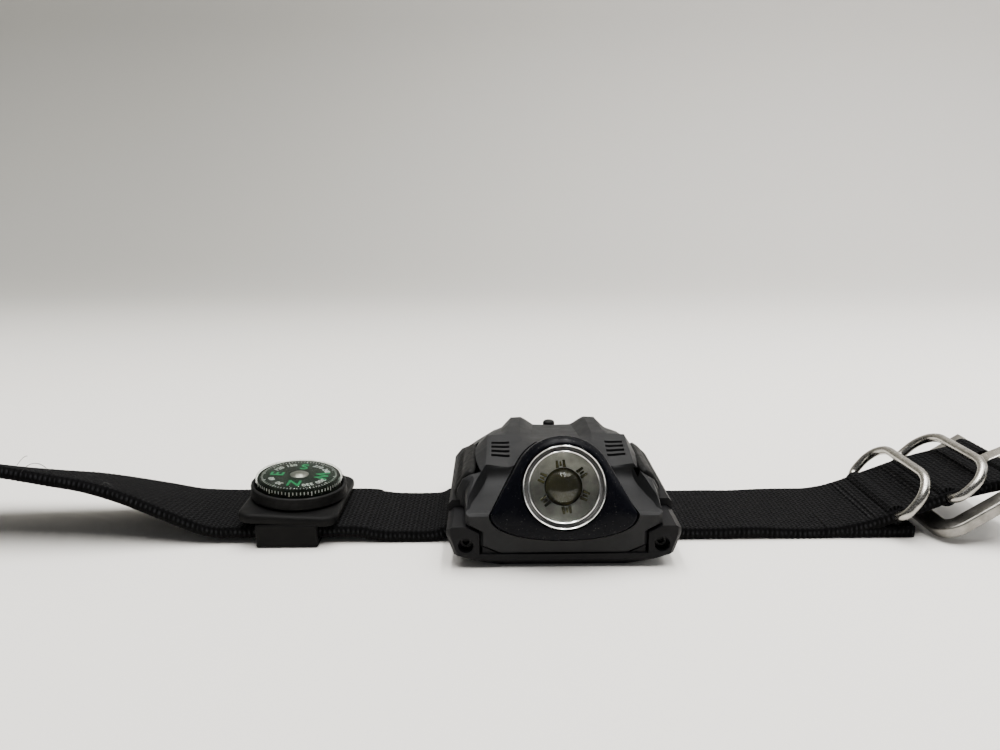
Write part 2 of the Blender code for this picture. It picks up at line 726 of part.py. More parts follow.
def wire_ring(name, place, lean, finish):
    """A closed rounded-rectangle ring of round wire; its lower bar lies at place."""
    upward = Vector((math.sin(lean), 0.0, math.cos(lean)))
    outward = Vector((math.cos(lean), 0.0, -math.sin(lean)))
    path = rounded_rectangle(RING_WIDTH / 2, RING_HEIGHT / 2, RING_TOP_CORNER, 5, RING_LOW_CORNER)
    rings = []
    for i, (y, h) in enumerate(path):
        before = Vector(path[i - 1])
        after = Vector(path[(i + 1) % len(path)])
        run = (after - before).normalized()
        side = Vector((run.y, -run.x))
        centre = place + Vector((0.0, y, 0.0)) + upward * (h + RING_HEIGHT / 2)
        normal = Vector((0.0, side.x, 0.0)) + upward * side.y
        ring = []
        for step in range(10):
            angle = 2 * math.pi * step / 10
            ring.append(centre + (normal * math.cos(angle) + outward * math.sin(angle)) * WIRE_RADIUS)
        rings.append(ring)
    loft(name, rings, finish, closed=True, origin=place)


def make_buckle_frame(finish):
    """A flat steel U that hangs from the buckle bar and slopes back under the strap."""
    along = Vector((-math.cos(FRAME_SLOPE), 0.0, -math.sin(FRAME_SLOPE)))
    normal = Vector((math.sin(FRAME_SLOPE), 0.0, -math.cos(FRAME_SLOPE)))
    half = (FRAME_WIDTH - FRAME_BAND) / 2
    reach = FRAME_LENGTH - FRAME_BAND / 2
    radius = 3.4 * MM
    path = [(-2.2 * MM, half), (6.0 * MM, half)]
    for sign in (1, -1):
        steps = range(5) if sign > 0 else reversed(range(5))
        for step in steps:
            angle = math.pi / 2 * step / 4
            a = reach - radius + radius * math.sin(angle)
            b = sign * (half - radius + radius * math.cos(angle))
            path.append((a, b))
    path += [(6.0 * MM, -half), (-2.2 * MM, -half)]
    half_section = [(-1, -0.35), (-0.85, -0.5), (0.85, -0.5), (1, -0.35)]
    section = half_section + [(-s, -w) for s, w in half_section]
    rings = []
    for i, point in enumerate(path):
        before = Vector(path[max(i - 1, 0)])
        after = Vector(path[min(i + 1, len(path) - 1)])
        run = (after - before).normalized()
        side = Vector((run.y, -run.x)) * FRAME_BAND / 2
        ring = []
        for s, w in section:
            a, b = Vector(point) + side * s
            ring.append(BUCKLE_BAR + along * a + Vector((0.0, b, 0.0)) + normal * (w * FRAME_THICK))
        rings.append(ring)
    frame = loft("buckle_frame", rings, finish, origin=BUCKLE_BAR)
    for name, sign in (("near", -1), ("far", 1)):
        centre = BUCKLE_BAR + Vector((0.0, sign * half, 0.0))
        across = Vector((0.0, FRAME_BAND, 0.0))
        cut(frame, rod(f"bar_hole_{name}", centre - across, centre + across, BAR_END_RADIUS + GAP, None, 12))
    return frame


def make_buckle_bar(finish):
    """The rod in the strap's end, with thinner ends that sit in the frame."""
    half = FRAME_WIDTH / 2
    inner = half - FRAME_BAND - GAP
    frame = Matrix.Translation(BUCKLE_BAR) @ Matrix.Rotation(-math.pi / 2, 4, "X")
    profile = [
        (0, -half),
        (BAR_END_RADIUS, -half),
        (BAR_END_RADIUS, -inner),
        (WIRE_RADIUS, -inner),
        (WIRE_RADIUS, inner),
        (BAR_END_RADIUS, inner),
        (BAR_END_RADIUS, half),
        (0, half),
    ]
    turned("buckle_bar", profile, frame, finish, 12, origin=BUCKLE_BAR)


def make_tongue(finish):
    """A prong that curls round the buckle bar and sticks out past the strap's end."""
    inner = WIRE_RADIUS + GAP
    outer = inner + 0.9 * MM
    half = TONGUE_WIDTH / 2
    along = Vector((math.cos(TONGUE_RISE), 0.0, math.sin(TONGUE_RISE)))
    normal = Vector((-math.sin(TONGUE_RISE), 0.0, math.cos(TONGUE_RISE)))
    loops = []
    for step in range(13):
        angle = math.radians(90 + 300 * step / 12)
        loops.append((angle, inner, outer))
    path = [((r_in + r_out) / 2, a) for a, r_in, r_out in loops]
    centreline = [Vector((r * math.cos(a), r * math.sin(a))) for r, a in reversed(path)]
    centreline += [Vector((x * MM, (inner + outer) / 2)) for x in (3.0, 8.0, 14.0)]
    centreline.append(Vector((TONGUE_LENGTH, (inner + outer) / 2 - 0.4 * MM)))
    rings = []
    for i, point in enumerate(centreline):
        before = centreline[max(i - 1, 0)]
        after = centreline[min(i + 1, len(centreline) - 1)]
        run = (after - before).normalized()
        side = Vector((-run.y, run.x))
        taper = 0.62 if i == len(centreline) - 1 else 1.0
        ring = []
        for u, w in ((-1, -1), (1, -1), (1, 1), (-1, 1)):
            place = point + side * (w * taper * (outer - inner) / 2)
            across = Vector((0.0, u * taper * half, 0.0))
            ring.append(BUCKLE_BAR + along * place.x + normal * place.y + across)
        rings.append(ring)
    loft("buckle_tongue", rings, finish, origin=BUCKLE_BAR)


# ---------------------------------------------------------------- compass


def compass_frame():
    """Z is square to the compass face, which leans a little towards the lamp."""
    place = Vector((COMPASS_X, 0.0, COMPASS_TOP))
    return Matrix.Translation(place) @ Matrix.Rotation(COMPASS_TILT, 4, "Y")


def make_compass_clip(finish):
    """A channel that wraps the strap, fused under a plate that carries the capsule."""
    hook = 3.6 * MM
    inner = CLIP_HALF - CLIP_WALL
    strap_top = STRAP_LIFT + STRAP_THICK + GAP
    outline = [
        (-CLIP_HALF, 0.5 * MM),
        (-CLIP_HALF + 0.4 * MM, 0.1 * MM),
        (-inner + hook, 0.1 * MM),
        (-inner + hook, STRAP_LIFT - GAP),
        (-inner, STRAP_LIFT - GAP),
        (-inner, strap_top),
        (inner, strap_top),
        (inner, STRAP_LIFT - GAP),
        (inner - hook, STRAP_LIFT - GAP),
        (inner - hook, 0.1 * MM),
        (CLIP_HALF - 0.4 * MM, 0.1 * MM),
        (CLIP_HALF, 0.5 * MM),
        (CLIP_HALF, 5.4 * MM),
        (-CLIP_HALF, 5.4 * MM),
    ]
    ends = (COMPASS_X - 6.5 * MM, COMPASS_X + 6.5 * MM)
    clip = loft("compass_clip", [[Vector((x, y, z)) for y, z in outline] for x in ends], finish)
    frame = compass_frame()
    plate = rounded_rectangle(CLIP_LENGTH / 2, CLIP_HALF - 0.2 * MM, 3.0 * MM)
    small = rounded_rectangle(CLIP_LENGTH / 2 - 0.5 * MM, CLIP_HALF - 0.7 * MM, 2.6 * MM)
    levels = ((plate, -1.9 * MM), (plate, -0.5 * MM), (small, 0.0))
    rings = [[frame @ Vector((x, y, z)) for x, y in outline_at] for outline_at, z in levels]
    fuse(clip, loft("clip_plate", rings, None))


def turned_on_compass(name, profile, finish, segments=32, origin=None):
    frame = compass_frame()
    place = frame.translation if origin is None else origin
    return turned(name, [(r * MM, z * MM) for r, z in profile], frame, finish, segments, origin=place)


def make_compass(finishes):
    cup = [(0, 0.3), (10.4, 0.3), (10.5, 0.6), (10.4, 2.5), (10.0, 2.9), (9.7, 2.7), (9.7, 1.1), (0, 1.1)]
    turned_on_compass("compass_cup", cup, finishes["rubber"], 40)
    outer = [(9.4, 1.4), (9.4, 4.1), (9.0, 4.7), (7.4, 5.2), (4.5, 5.5), (0, 5.6)]
    inner = [(0, 4.9), (4.4, 4.8), (7.1, 4.5), (8.4, 4.1), (8.7, 3.7), (8.7, 1.4)]
    turned_on_compass("compass_dome", outer + inner, finishes["clear"], 40)
    turned_on_compass("compass_pivot", [(0, 1.4), (0.9, 1.4), (0.4, 1.7), (0, 1.7)], finishes["brass"], 16)
    card = [(0, 3.0), (8.1, 3.0), (8.1, 3.3), (0, 3.3)]
    turned_on_compass("compass_card", card, finishes["black"], 40)
    cap = [(0, 3.6), (0.95, 3.6), (0.95, 3.9), (0.5, 4.2), (0, 4.3)]
    turned_on_compass("card_cap", cap, finishes["steel"], 16)
    frame = compass_frame()
    low, high = Vector((-1.1, -4.5, 2.0)) * MM, Vector((1.1, 4.5, 2.7)) * MM
    corners = [(low.x, low.y), (high.x, low.y), (high.x, high.y), (low.x, high.y)]
    rings = [[frame @ Vector((x, y, z)) for x, y in corners] for z in (low.z, high.z)]
    loft("card_magnet", rings, finishes["steel"], origin=frame.translation)


def make_finishes():
    return {
        "shell": material("satin_grey_plastic", (0.075, 0.076, 0.08), 0.45),
        "case": material("satin_black_plastic", (0.02, 0.02, 0.021), 0.45),
        "gloss": material("gloss_black_plastic", (0.012, 0.013, 0.018), 0.15),
        "black": material("black_plastic", (0.015, 0.015, 0.015), 0.5),
        "rubber": material("black_rubber", (0.02, 0.02, 0.02), 0.75),
        "webbing": material("black_webbing", (0.018, 0.018, 0.02), 0.9),
        "steel": material("steel", (0.55, 0.53, 0.5), 0.28, 1.0),
        "aluminium": material("aluminium", (0.7, 0.7, 0.7), 0.4, 1.0),
        "brass": material("brass", (0.7, 0.5, 0.2), 0.35, 1.0),
        "lens": material("lens_plastic", (0.85, 0.86, 0.85), 0.1),
        "clear": material("clear_dome", (0.9, 0.9, 0.92), 0.05),
        "yellow": material("led_phosphor", (0.8, 0.7, 0.15), 0.5),
        "board": material("green_board", (0.02, 0.12, 0.05), 0.5),
        "foil": material("battery_foil", (0.5, 0.5, 0.52), 0.4, 0.6),
    }


def main():
    clear_scene()
    finishes = make_finishes()
    make_base_case(finishes["case"])
    make_back_plate(finishes["case"])
    make_back_screws(finishes["steel"])
    make_case_seal(finishes["rubber"])
    make_upper_shell(finishes["shell"])
    make_nose_cowl(finishes["gloss"])
    make_lens_group(finishes)
    make_electronics(finishes)
    make_power_button(finishes["rubber"])
    make_usb_cover(finishes["rubber"])
    make_mode_button(finishes["rubber"])
    make_strap_pins(finishes["steel"])
    make_tail_strap(finishes["webbing"])
    make_compass_clip(finishes["black"])
    make_compass(finishes)
    make_buckle_strap(finishes["webbing"])
    wire_ring("keeper_ring_1", RING_1, RING_LEAN_1, finishes["steel"])
    wire_ring("keeper_ring_2", RING_2, RING_LEAN_2, finishes["steel"])
    make_buckle_frame(finishes["steel"])
    make_buckle_bar(finishes["steel"])
    make_tongue(finishes["steel"])


main()
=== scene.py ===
"""Looks of the wrist lamp: every visible piece, its materials, a plain studio and the camera.

Lengths are metres; MM turns millimetres into metres. X runs along the strap, -Y faces the beam, Z is up.
"""

import json
import math

import bmesh
import bpy
from mathutils import Matrix, Vector
from mathutils.noise import noise as smooth_noise


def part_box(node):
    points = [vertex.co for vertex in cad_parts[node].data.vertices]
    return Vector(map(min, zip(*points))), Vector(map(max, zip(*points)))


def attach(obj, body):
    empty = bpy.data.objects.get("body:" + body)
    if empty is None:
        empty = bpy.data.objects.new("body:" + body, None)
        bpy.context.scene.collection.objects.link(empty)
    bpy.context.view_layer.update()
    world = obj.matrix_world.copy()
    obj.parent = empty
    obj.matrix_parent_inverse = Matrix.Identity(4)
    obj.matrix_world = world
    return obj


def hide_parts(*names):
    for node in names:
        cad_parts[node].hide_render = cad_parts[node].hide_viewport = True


MM = 0.001

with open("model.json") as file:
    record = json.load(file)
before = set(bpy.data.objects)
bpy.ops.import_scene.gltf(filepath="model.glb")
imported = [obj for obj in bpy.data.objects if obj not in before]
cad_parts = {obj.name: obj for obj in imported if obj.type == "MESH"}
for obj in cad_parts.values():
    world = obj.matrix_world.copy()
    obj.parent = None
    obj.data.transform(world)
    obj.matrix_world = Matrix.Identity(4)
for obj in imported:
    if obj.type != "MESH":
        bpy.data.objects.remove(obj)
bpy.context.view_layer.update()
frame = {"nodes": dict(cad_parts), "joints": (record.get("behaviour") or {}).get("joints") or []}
NODES = frame["nodes"]
HINGES = {joint["name"]: joint for joint in frame["joints"]}

# Sizes shared with the frame
STRAP_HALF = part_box("tail_strap")[1].y
STRAP_THICK = 2.6 * MM
LENS_CENTRE = Vector((0.0, -22.1 * MM, 16.9 * MM))
LENS_TILT = math.radians(20)
PIN_LEFT = Vector(HINGES["tail_hinge"]["pos_m"])
PIN_RIGHT = Vector(HINGES["buckle_strap_hinge"]["pos_m"])
RING_1 = Vector(HINGES["ring_1_hinge"]["pos_m"])
RING_2 = Vector(HINGES["ring_2_hinge"]["pos_m"])
BUCKLE_BAR = Vector(HINGES["buckle_hinge"]["pos_m"])
COMPASS_AT = Vector(HINGES["card_spin"]["pos_m"])
COMPASS_UP = Vector(HINGES["card_spin"]["axis"])


# ---------------------------------------------------------------- materials


def new_material(name, colour, roughness, metallic=0.0, **sockets):
    """A Principled material whose even values sit on the shader's own sockets."""
    made = bpy.data.materials.new(name)
    made.use_nodes = True
    shader = made.node_tree.nodes["Principled BSDF"]
    shader.inputs["Base Color"].default_value = (*colour, 1.0)
    shader.inputs["Roughness"].default_value = roughness
    shader.inputs["Metallic"].default_value = metallic
    for socket, value in sockets.items():
        shader.inputs[socket.replace("_", " ")].default_value = value
    made.diffuse_color = (*colour, 1.0)
    return made


def add_node(made, kind, **values):
    node = made.node_tree.nodes.new(kind)
    for name, value in values.items():
        if name in node.inputs:
            node.inputs[name].default_value = value
        else:
            setattr(node, name, value)
    return node


def link(made, source, out, target, into):
    made.node_tree.links.new(source.outputs[out], target.inputs[into])


def shader_of(made):
    return made.node_tree.nodes["Principled BSDF"]


def object_space(made, stretch=(1.0, 1.0, 1.0)):
    place = add_node(made, "ShaderNodeTexCoord")
    mapping = add_node(made, "ShaderNodeMapping")
    mapping.inputs["Scale"].default_value = stretch
    link(made, place, "Object", mapping, "Vector")
    return mapping


def noise_field(made, place, size, detail=3.0, rough=0.55):
    """Noise whose features are about size across."""
    field = add_node(made, "ShaderNodeTexNoise", Scale=1.0 / size, Detail=detail, Roughness=rough)
    link(made, place, "Vector", field, "Vector")
    return field


def vary_colour(made, field, dark, light, low=0.35, high=0.65):
    ramp = add_node(made, "ShaderNodeValToRGB")
    ramp.color_ramp.elements[0].position = low
    ramp.color_ramp.elements[0].color = (*dark, 1.0)
    ramp.color_ramp.elements[1].position = high
    ramp.color_ramp.elements[1].color = (*light, 1.0)
    link(made, field, "Fac", ramp, "Fac")
    link(made, ramp, "Color", shader_of(made), "Base Color")
    return ramp


def vary_roughness(made, field, low, high):
    spread = add_node(made, "ShaderNodeMapRange")
    spread.inputs["From Min"].default_value = 0.3
    spread.inputs["From Max"].default_value = 0.7
    spread.inputs["To Min"].default_value = low
    spread.inputs["To Max"].default_value = high
    link(made, field, "Fac", spread, "Value")
    link(made, spread, "Result", shader_of(made), "Roughness")


def add_bump(made, field, depth, strength=1.0, out="Fac"):
    """Raises the surface by the field; a second call stacks on the first."""
    shader = shader_of(made)
    bump = add_node(made, "ShaderNodeBump", Strength=strength, Distance=depth)
    link(made, field, out, bump, "Height")
    for earlier in list(shader.inputs["Normal"].links):
        made.node_tree.links.new(earlier.from_socket, bump.inputs["Normal"])
    link(made, bump, "Normal", shader, "Normal")
    return bump


def moulded_plastic(name, dark, light, rough_low, rough_high, grain=0.16 * MM, shine=0.25):
    """Satin moulded plastic: fine spark-eroded grain, faint mottling and uneven gloss."""
    made = new_material(name, light, rough_high, **{"Specular_IOR_Level": shine})
    place = object_space(made)
    vary_colour(made, noise_field(made, place, 5 * MM, 5.0, 0.65), dark, light)
    vary_roughness(made, noise_field(made, place, 2.5 * MM, 4.0), rough_low, rough_high)
    add_bump(made, noise_field(made, place, grain, 2.0, 0.7), 0.012 * MM)
    add_bump(made, noise_field(made, place, 9 * MM, 1.0, 0.4), 0.02 * MM)
    return made


def polished_plastic(name):
    """Smooth blue-black plastic with a little dust on it."""
    made = new_material(name, (0.002, 0.0022, 0.0035), 0.26, **{"Specular_IOR_Level": 0.05})
    place = object_space(made)
    specks = noise_field(made, place, 0.22 * MM, 1.0, 0.5)
    vary_colour(made, specks, (0.002, 0.0022, 0.0035), (0.12, 0.12, 0.11), 0.735, 0.77)
    vary_roughness(made, noise_field(made, place, 3 * MM, 4.0), 0.22, 0.36)
    add_bump(made, noise_field(made, place, 7 * MM, 1.0, 0.3), 0.015 * MM)
    return made


def rubber(name, dark, light, roughness):
    made = new_material(name, light, roughness, **{"Specular_IOR_Level": 0.12})
    place = object_space(made)
    vary_colour(made, noise_field(made, place, 1.6 * MM, 5.0, 0.7), dark, light)
    vary_roughness(made, noise_field(made, place, 1.1 * MM, 3.0), roughness - 0.1, roughness + 0.08)
    add_bump(made, noise_field(made, place, 0.12 * MM, 2.0, 0.7), 0.014 * MM)
    return made


def worked_metal(name, dark, light, rough_low, rough_high, stretch=(1.0, 1.0, 1.0)):
    """Bright metal with drawn-out fine scratches and small changes of tone."""
    made = new_material(name, light, rough_high, 1.0)
    vary_colour(made, noise_field(made, object_space(made), 2.2 * MM, 4.0, 0.6), dark, light)
    scratch = noise_field(made, object_space(made, stretch), 0.12 * MM, 3.0, 0.6)
    vary_roughness(made, scratch, rough_low, rough_high)
    add_bump(made, scratch, 0.004 * MM)
    return made


def clear_plastic(name, colour, roughness, ior, shine=0.5):
    looks = {"IOR": ior, "Transmission_Weight": 1.0, "Specular_IOR_Level": shine}
    made = new_material(name, colour, roughness, **looks)
    place = object_space(made)
    vary_roughness(made, noise_field(made, place, 3 * MM, 4.0), roughness, roughness + 0.03)
    return made


def woven_webbing(name):
    """Black nylon webbing: warp, weft and grey flecks on the piece's own map, which is in millimetres; the
    flecks are brightest on the raised crossings of the weave, part fibre colour and part painted sheen.
    """
    made = new_material(name, (0.004, 0.004, 0.0045), 0.7, **{"Specular_IOR_Level": 0.05})
    shader = shader_of(made)
    cloth = add_node(made, "ShaderNodeUVMap")
    cloth.uv_map = "weave"
    weft = add_node(made, "ShaderNodeTexWave", bands_direction="X", Scale=0.31416, Distortion=0.6)
    weft.inputs["Detail Scale"].default_value = 2.0
    link(made, cloth, "UV", weft, "Vector")
    warp = add_node(made, "ShaderNodeTexWave", bands_direction="Y", Scale=0.55, Distortion=0.8)
    warp.inputs["Detail Scale"].default_value = 2.0
    link(made, cloth, "UV", warp, "Vector")
    crossing = add_node(made, "ShaderNodeMath", operation="MULTIPLY")
    link(made, weft, "Fac", crossing, 0)
    link(made, warp, "Fac", crossing, 1)
    fibre = add_node(made, "ShaderNodeTexNoise", Scale=7.0, Detail=3.0, Roughness=0.7)
    link(made, cloth, "UV", fibre, "Vector")
    add_bump(made, crossing, 0.16 * MM, 0.9, out="Value")
    add_bump(made, fibre, 0.10 * MM, 0.7)
    fleck = add_node(made, "ShaderNodeTexNoise", Scale=2.6, Detail=2.0, Roughness=0.75)
    link(made, cloth, "UV", fleck, "Vector")
    # painted sheen: the grey flecks are kept to the raised crossings of the weave, where light catches them
    crossing_sheen = add_node(made, "ShaderNodeMath", operation="MULTIPLY")
    link(made, fleck, "Fac", crossing_sheen, 0)
    link(made, crossing, "Value", crossing_sheen, 1)
    ramp = add_node(made, "ShaderNodeValToRGB")
    ramp.color_ramp.elements[0].position = 0.12
    ramp.color_ramp.elements[0].color = (0.0012, 0.0012, 0.0014, 1.0)
    ramp.color_ramp.elements[1].position = 0.6
    ramp.color_ramp.elements[1].color = (0.018, 0.0185, 0.02, 1.0)
    link(made, crossing_sheen, "Value", ramp, "Fac")
    link(made, ramp, "Color", shader, "Base Color")
    return made


def printed(name, colour):
    """Printing ink on the compass card, a little uneven."""
    made = new_material(name, colour, 0.5, **{"Specular_IOR_Level": 0.1})
    place = object_space(made)
    dark = tuple(0.75 * value for value in colour)
    vary_colour(made, noise_field(made, place, 0.3 * MM, 3.0), dark, colour)
    return made


def make_materials():
    return {
        "shell": moulded_plastic(
            "shell_grey", (0.011, 0.0113, 0.012), (0.016, 0.0163, 0.017),
            0.44, 0.56, shine=0.1,
        ),
        "case": moulded_plastic(
            "case_black", (0.0035, 0.0035, 0.004), (0.0065, 0.0065, 0.0072),
            0.42, 0.54, shine=0.08,
        ),
        "nose": polished_plastic("nose_gloss"),
        "rubber": rubber("rubber_black", (0.003, 0.003, 0.003), (0.006, 0.006, 0.006), 0.62),
        "clip": moulded_plastic(
            "clip_black", (0.0025, 0.0025, 0.0027), (0.005, 0.005, 0.0049),
            0.5, 0.64, shine=0.07,
        ),
        "bezel": worked_metal("bezel_metal", (0.72, 0.72, 0.71), (0.9, 0.9, 0.88), 0.08, 0.2),
        "bezel_dark": moulded_plastic(
            "bezel_groove", (0.018, 0.018, 0.018), (0.035, 0.035, 0.034),
            0.25, 0.4,
        ),
        "cone": worked_metal("reflector", (0.12, 0.12, 0.11), (0.175, 0.175, 0.16), 0.38, 0.55),
        "steel": worked_metal(
            "steel_brushed", (0.30, 0.288, 0.262), (0.41, 0.395, 0.362),
            0.18, 0.3, (1, 0.12, 1),
        ),
        "buckle": worked_metal(
            "steel_buckle", (0.17, 0.163, 0.148), (0.25, 0.24, 0.22),
            0.26, 0.42, (1, 0.12, 1),
        ),
        "dark_steel": worked_metal("steel_plain", (0.35, 0.34, 0.32), (0.5, 0.48, 0.45), 0.25, 0.4),
        "webbing": woven_webbing("webbing_black"),
        "thread": rubber("thread_black", (0.003, 0.003, 0.0035), (0.01, 0.01, 0.011), 0.7),
        "clear": clear_plastic("dome_clear", (0.88, 0.92, 0.89), 0.01, 1.06, 0.2),
        "window": clear_plastic("lens_clear", (0.95, 0.96, 0.94), 0.01, 1.2, 0.2),
        "eye": clear_plastic("lens_eye", (0.42, 0.41, 0.31), 0.02, 1.45),
        "card": moulded_plastic(
            "card_black", (0.006, 0.008, 0.006), (0.01, 0.012, 0.01),
            0.5, 0.6, shine=0.06,
        ),
        "green": printed("ink_green", (0.002, 0.24, 0.075)),
        "white": printed("ink_white", (0.55, 0.55, 0.53)),
        "phosphor": printed("led_yellow", (0.22, 0.205, 0.11)),
        "board": moulded_plastic("board_green", (0.01, 0.08, 0.03), (0.02, 0.13, 0.05), 0.35, 0.5),
        "foil": worked_metal("battery_foil", (0.5, 0.5, 0.52), (0.65, 0.65, 0.66), 0.3, 0.45),
        "notch": moulded_plastic("clip_notch", (0.01, 0.01, 0.006), (0.09, 0.085, 0.04), 0.15, 0.3, 0.3 * MM),
        "pin": moulded_plastic("pin_black", (0.006, 0.006, 0.006), (0.012, 0.012, 0.012), 0.5, 0.6),
        "fibre": rubber("loose_fibre", (0.02, 0.02, 0.02), (0.05, 0.05, 0.05), 0.7),
    }


# ---------------------------------------------------------------- meshes


def mesh_piece(name, vertices, faces, finish, body, sharp=30.0, uvs=None):
    """A smooth-shaded mesh given in world coordinates that rides on a body."""
    mesh = bpy.data.meshes.new(name)
    mesh.from_pydata([tuple(v) for v in vertices], [], faces)
    working = bmesh.new()
    working.from_mesh(mesh)
    bmesh.ops.remove_doubles(working, verts=working.verts, dist=1e-6)
    bmesh.ops.recalc_face_normals(working, faces=working.faces)
    working.to_mesh(mesh)
    working.free()
    mesh.shade_smooth()
    mesh.set_sharp_from_angle(angle=math.radians(sharp))
    mesh.materials.append(finish)
    piece = bpy.data.objects.new(name, mesh)
    bpy.context.scene.collection.objects.link(piece)
    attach(piece, body)
    return piece


def add_solid(vertices, faces, points, solid_faces):
    """Adds one more solid to lists of vertices and faces."""
    start = len(vertices)
    vertices += points
    faces += [tuple(start + k for k in face) for face in solid_faces]


def ring_faces(ring_count, count, closed=False, caps=True):
    faces = []
    for i in range(ring_count if closed else ring_count - 1):
        low = i * count
        high = ((i + 1) % ring_count) * count
        for j in range(count):
            k = (j + 1) % count
            faces.append((low + j, low + k, high + k, high + j))
    if caps and not closed:
        last = (ring_count - 1) * count
        faces.append(tuple(reversed(range(count))))
        faces.append(tuple(range(last, last + count)))
    return faces


def loft(name, rings, finish, body, closed=False, sharp=30.0):
    vertices = [point for ring in rings for point in ring]
    return mesh_piece(name, vertices, ring_faces(len(rings), len(rings[0]), closed), finish, body, sharp)


def turned(name, profile, place, finish, body, segments=96, sharp=30.0):
    """Turns a closed outline of (radius, height) points about place's Z axis."""
    rings = []
    for radius, height in profile:
        ring = []
        for i in range(segments):
            angle = 2 * math.pi * i / segments
            ring.append(place @ Vector((radius * math.cos(angle), radius * math.sin(angle), height)))
        rings.append(ring)
    return loft(name, rings, finish, body, closed=True, sharp=sharp)


def bevel(piece, width, segments=3, angle=30.0):
    step = piece.modifiers.new("edges", "BEVEL")
    step.width = width
    step.segments = segments
    step.limit_method = "ANGLE"
    step.angle_limit = math.radians(angle)
    return step


def apply_modifiers(piece):
    """Bakes the piece's modifiers into its mesh."""
    graph = bpy.context.evaluated_depsgraph_get()
    baked = bpy.data.meshes.new_from_object(piece.evaluated_get(graph))
    piece.modifiers.clear()
    piece.data = baked


def cutter(name, rings):
    """A closed solid that is only used to cut."""
    mesh = bpy.data.meshes.new(name)
    vertices = [tuple(point) for ring in rings for point in ring]
    mesh.from_pydata(vertices, [], ring_faces(len(rings), len(rings[0])))
    working = bmesh.new()
    working.from_mesh(mesh)
    bmesh.ops.triangulate(working, faces=working.faces)
    bmesh.ops.recalc_face_normals(working, faces=working.faces)
    working.to_mesh(mesh)
    working.free()
    tool = bpy.data.objects.new(name, mesh)
    bpy.context.scene.collection.objects.link(tool)
    return tool


def cut(piece, tools, crossing=False):
    """Cuts the tools out of the piece and throws them away; crossing is for a piece that meets itself."""
    working = bmesh.new()
    working.from_mesh(piece.data)
    bmesh.ops.triangulate(working, faces=working.faces)
    working.to_mesh(piece.data)
    working.free()
    for tool in tools:
        step = piece.modifiers.new(tool.name, "BOOLEAN")
        step.operation = "DIFFERENCE"
        step.solver = "EXACT"
        step.use_self = crossing
        step.object = tool
    apply_modifiers(piece)
    for tool in tools:
        bpy.data.objects.remove(tool, do_unlink=True)


def box_rings(low, high):
    corners = [(low[0], low[1]), (high[0], low[1]), (high[0], high[1]), (low[0], high[1])]
    return [[Vector((x, y, z)) for x, y in corners] for z in (low[2], high[2])]


def mirrored(half):
    return half + [(-x, z) for x, z in reversed(half) if abs(x) > 1e-9]


def catmull(points, step):
    """A smooth curve through tuples of numbers, sampled about every step of its length in the first two."""
    ends = [points[0]] + list(points) + [points[-1]]
    made = []
    for a, b, c, d in zip(ends, ends[1:], ends[2:], ends[3:]):
        length = math.hypot(c[0] - b[0], c[1] - b[1])
        parts = max(1, round(length / step))
        for i in range(parts):
            t = i / parts
            made.append(tuple(cubic(p, q, r, s, t) for p, q, r, s in zip(a, b, c, d)))
    made.append(tuple(points[-1]))
    return made


def cubic(a, b, c, d, t):
    return 0.5 * (2 * b + (c - a) * t + (2 * a - 5 * b + 4 * c - d) * t**2 + (3 * b - a - 3 * c + d) * t**3)


def ease(value, low, high):
    share = min(max((value - low) / (high - low), 0.0), 1.0)
    return share * share * (3 - 2 * share)


# ---------------------------------------------------------------- upper shell


# Places along Y and heights, in millimetres
DECK_FRONT = -10.4
SCOOP_FRONT = -22.0
LIP_BACK = -21.45
SKIRT_FRONT = 3.3
SKIRT_BEHIND = 4.2
SKIRT_CORNER = (3.4, 1.5)

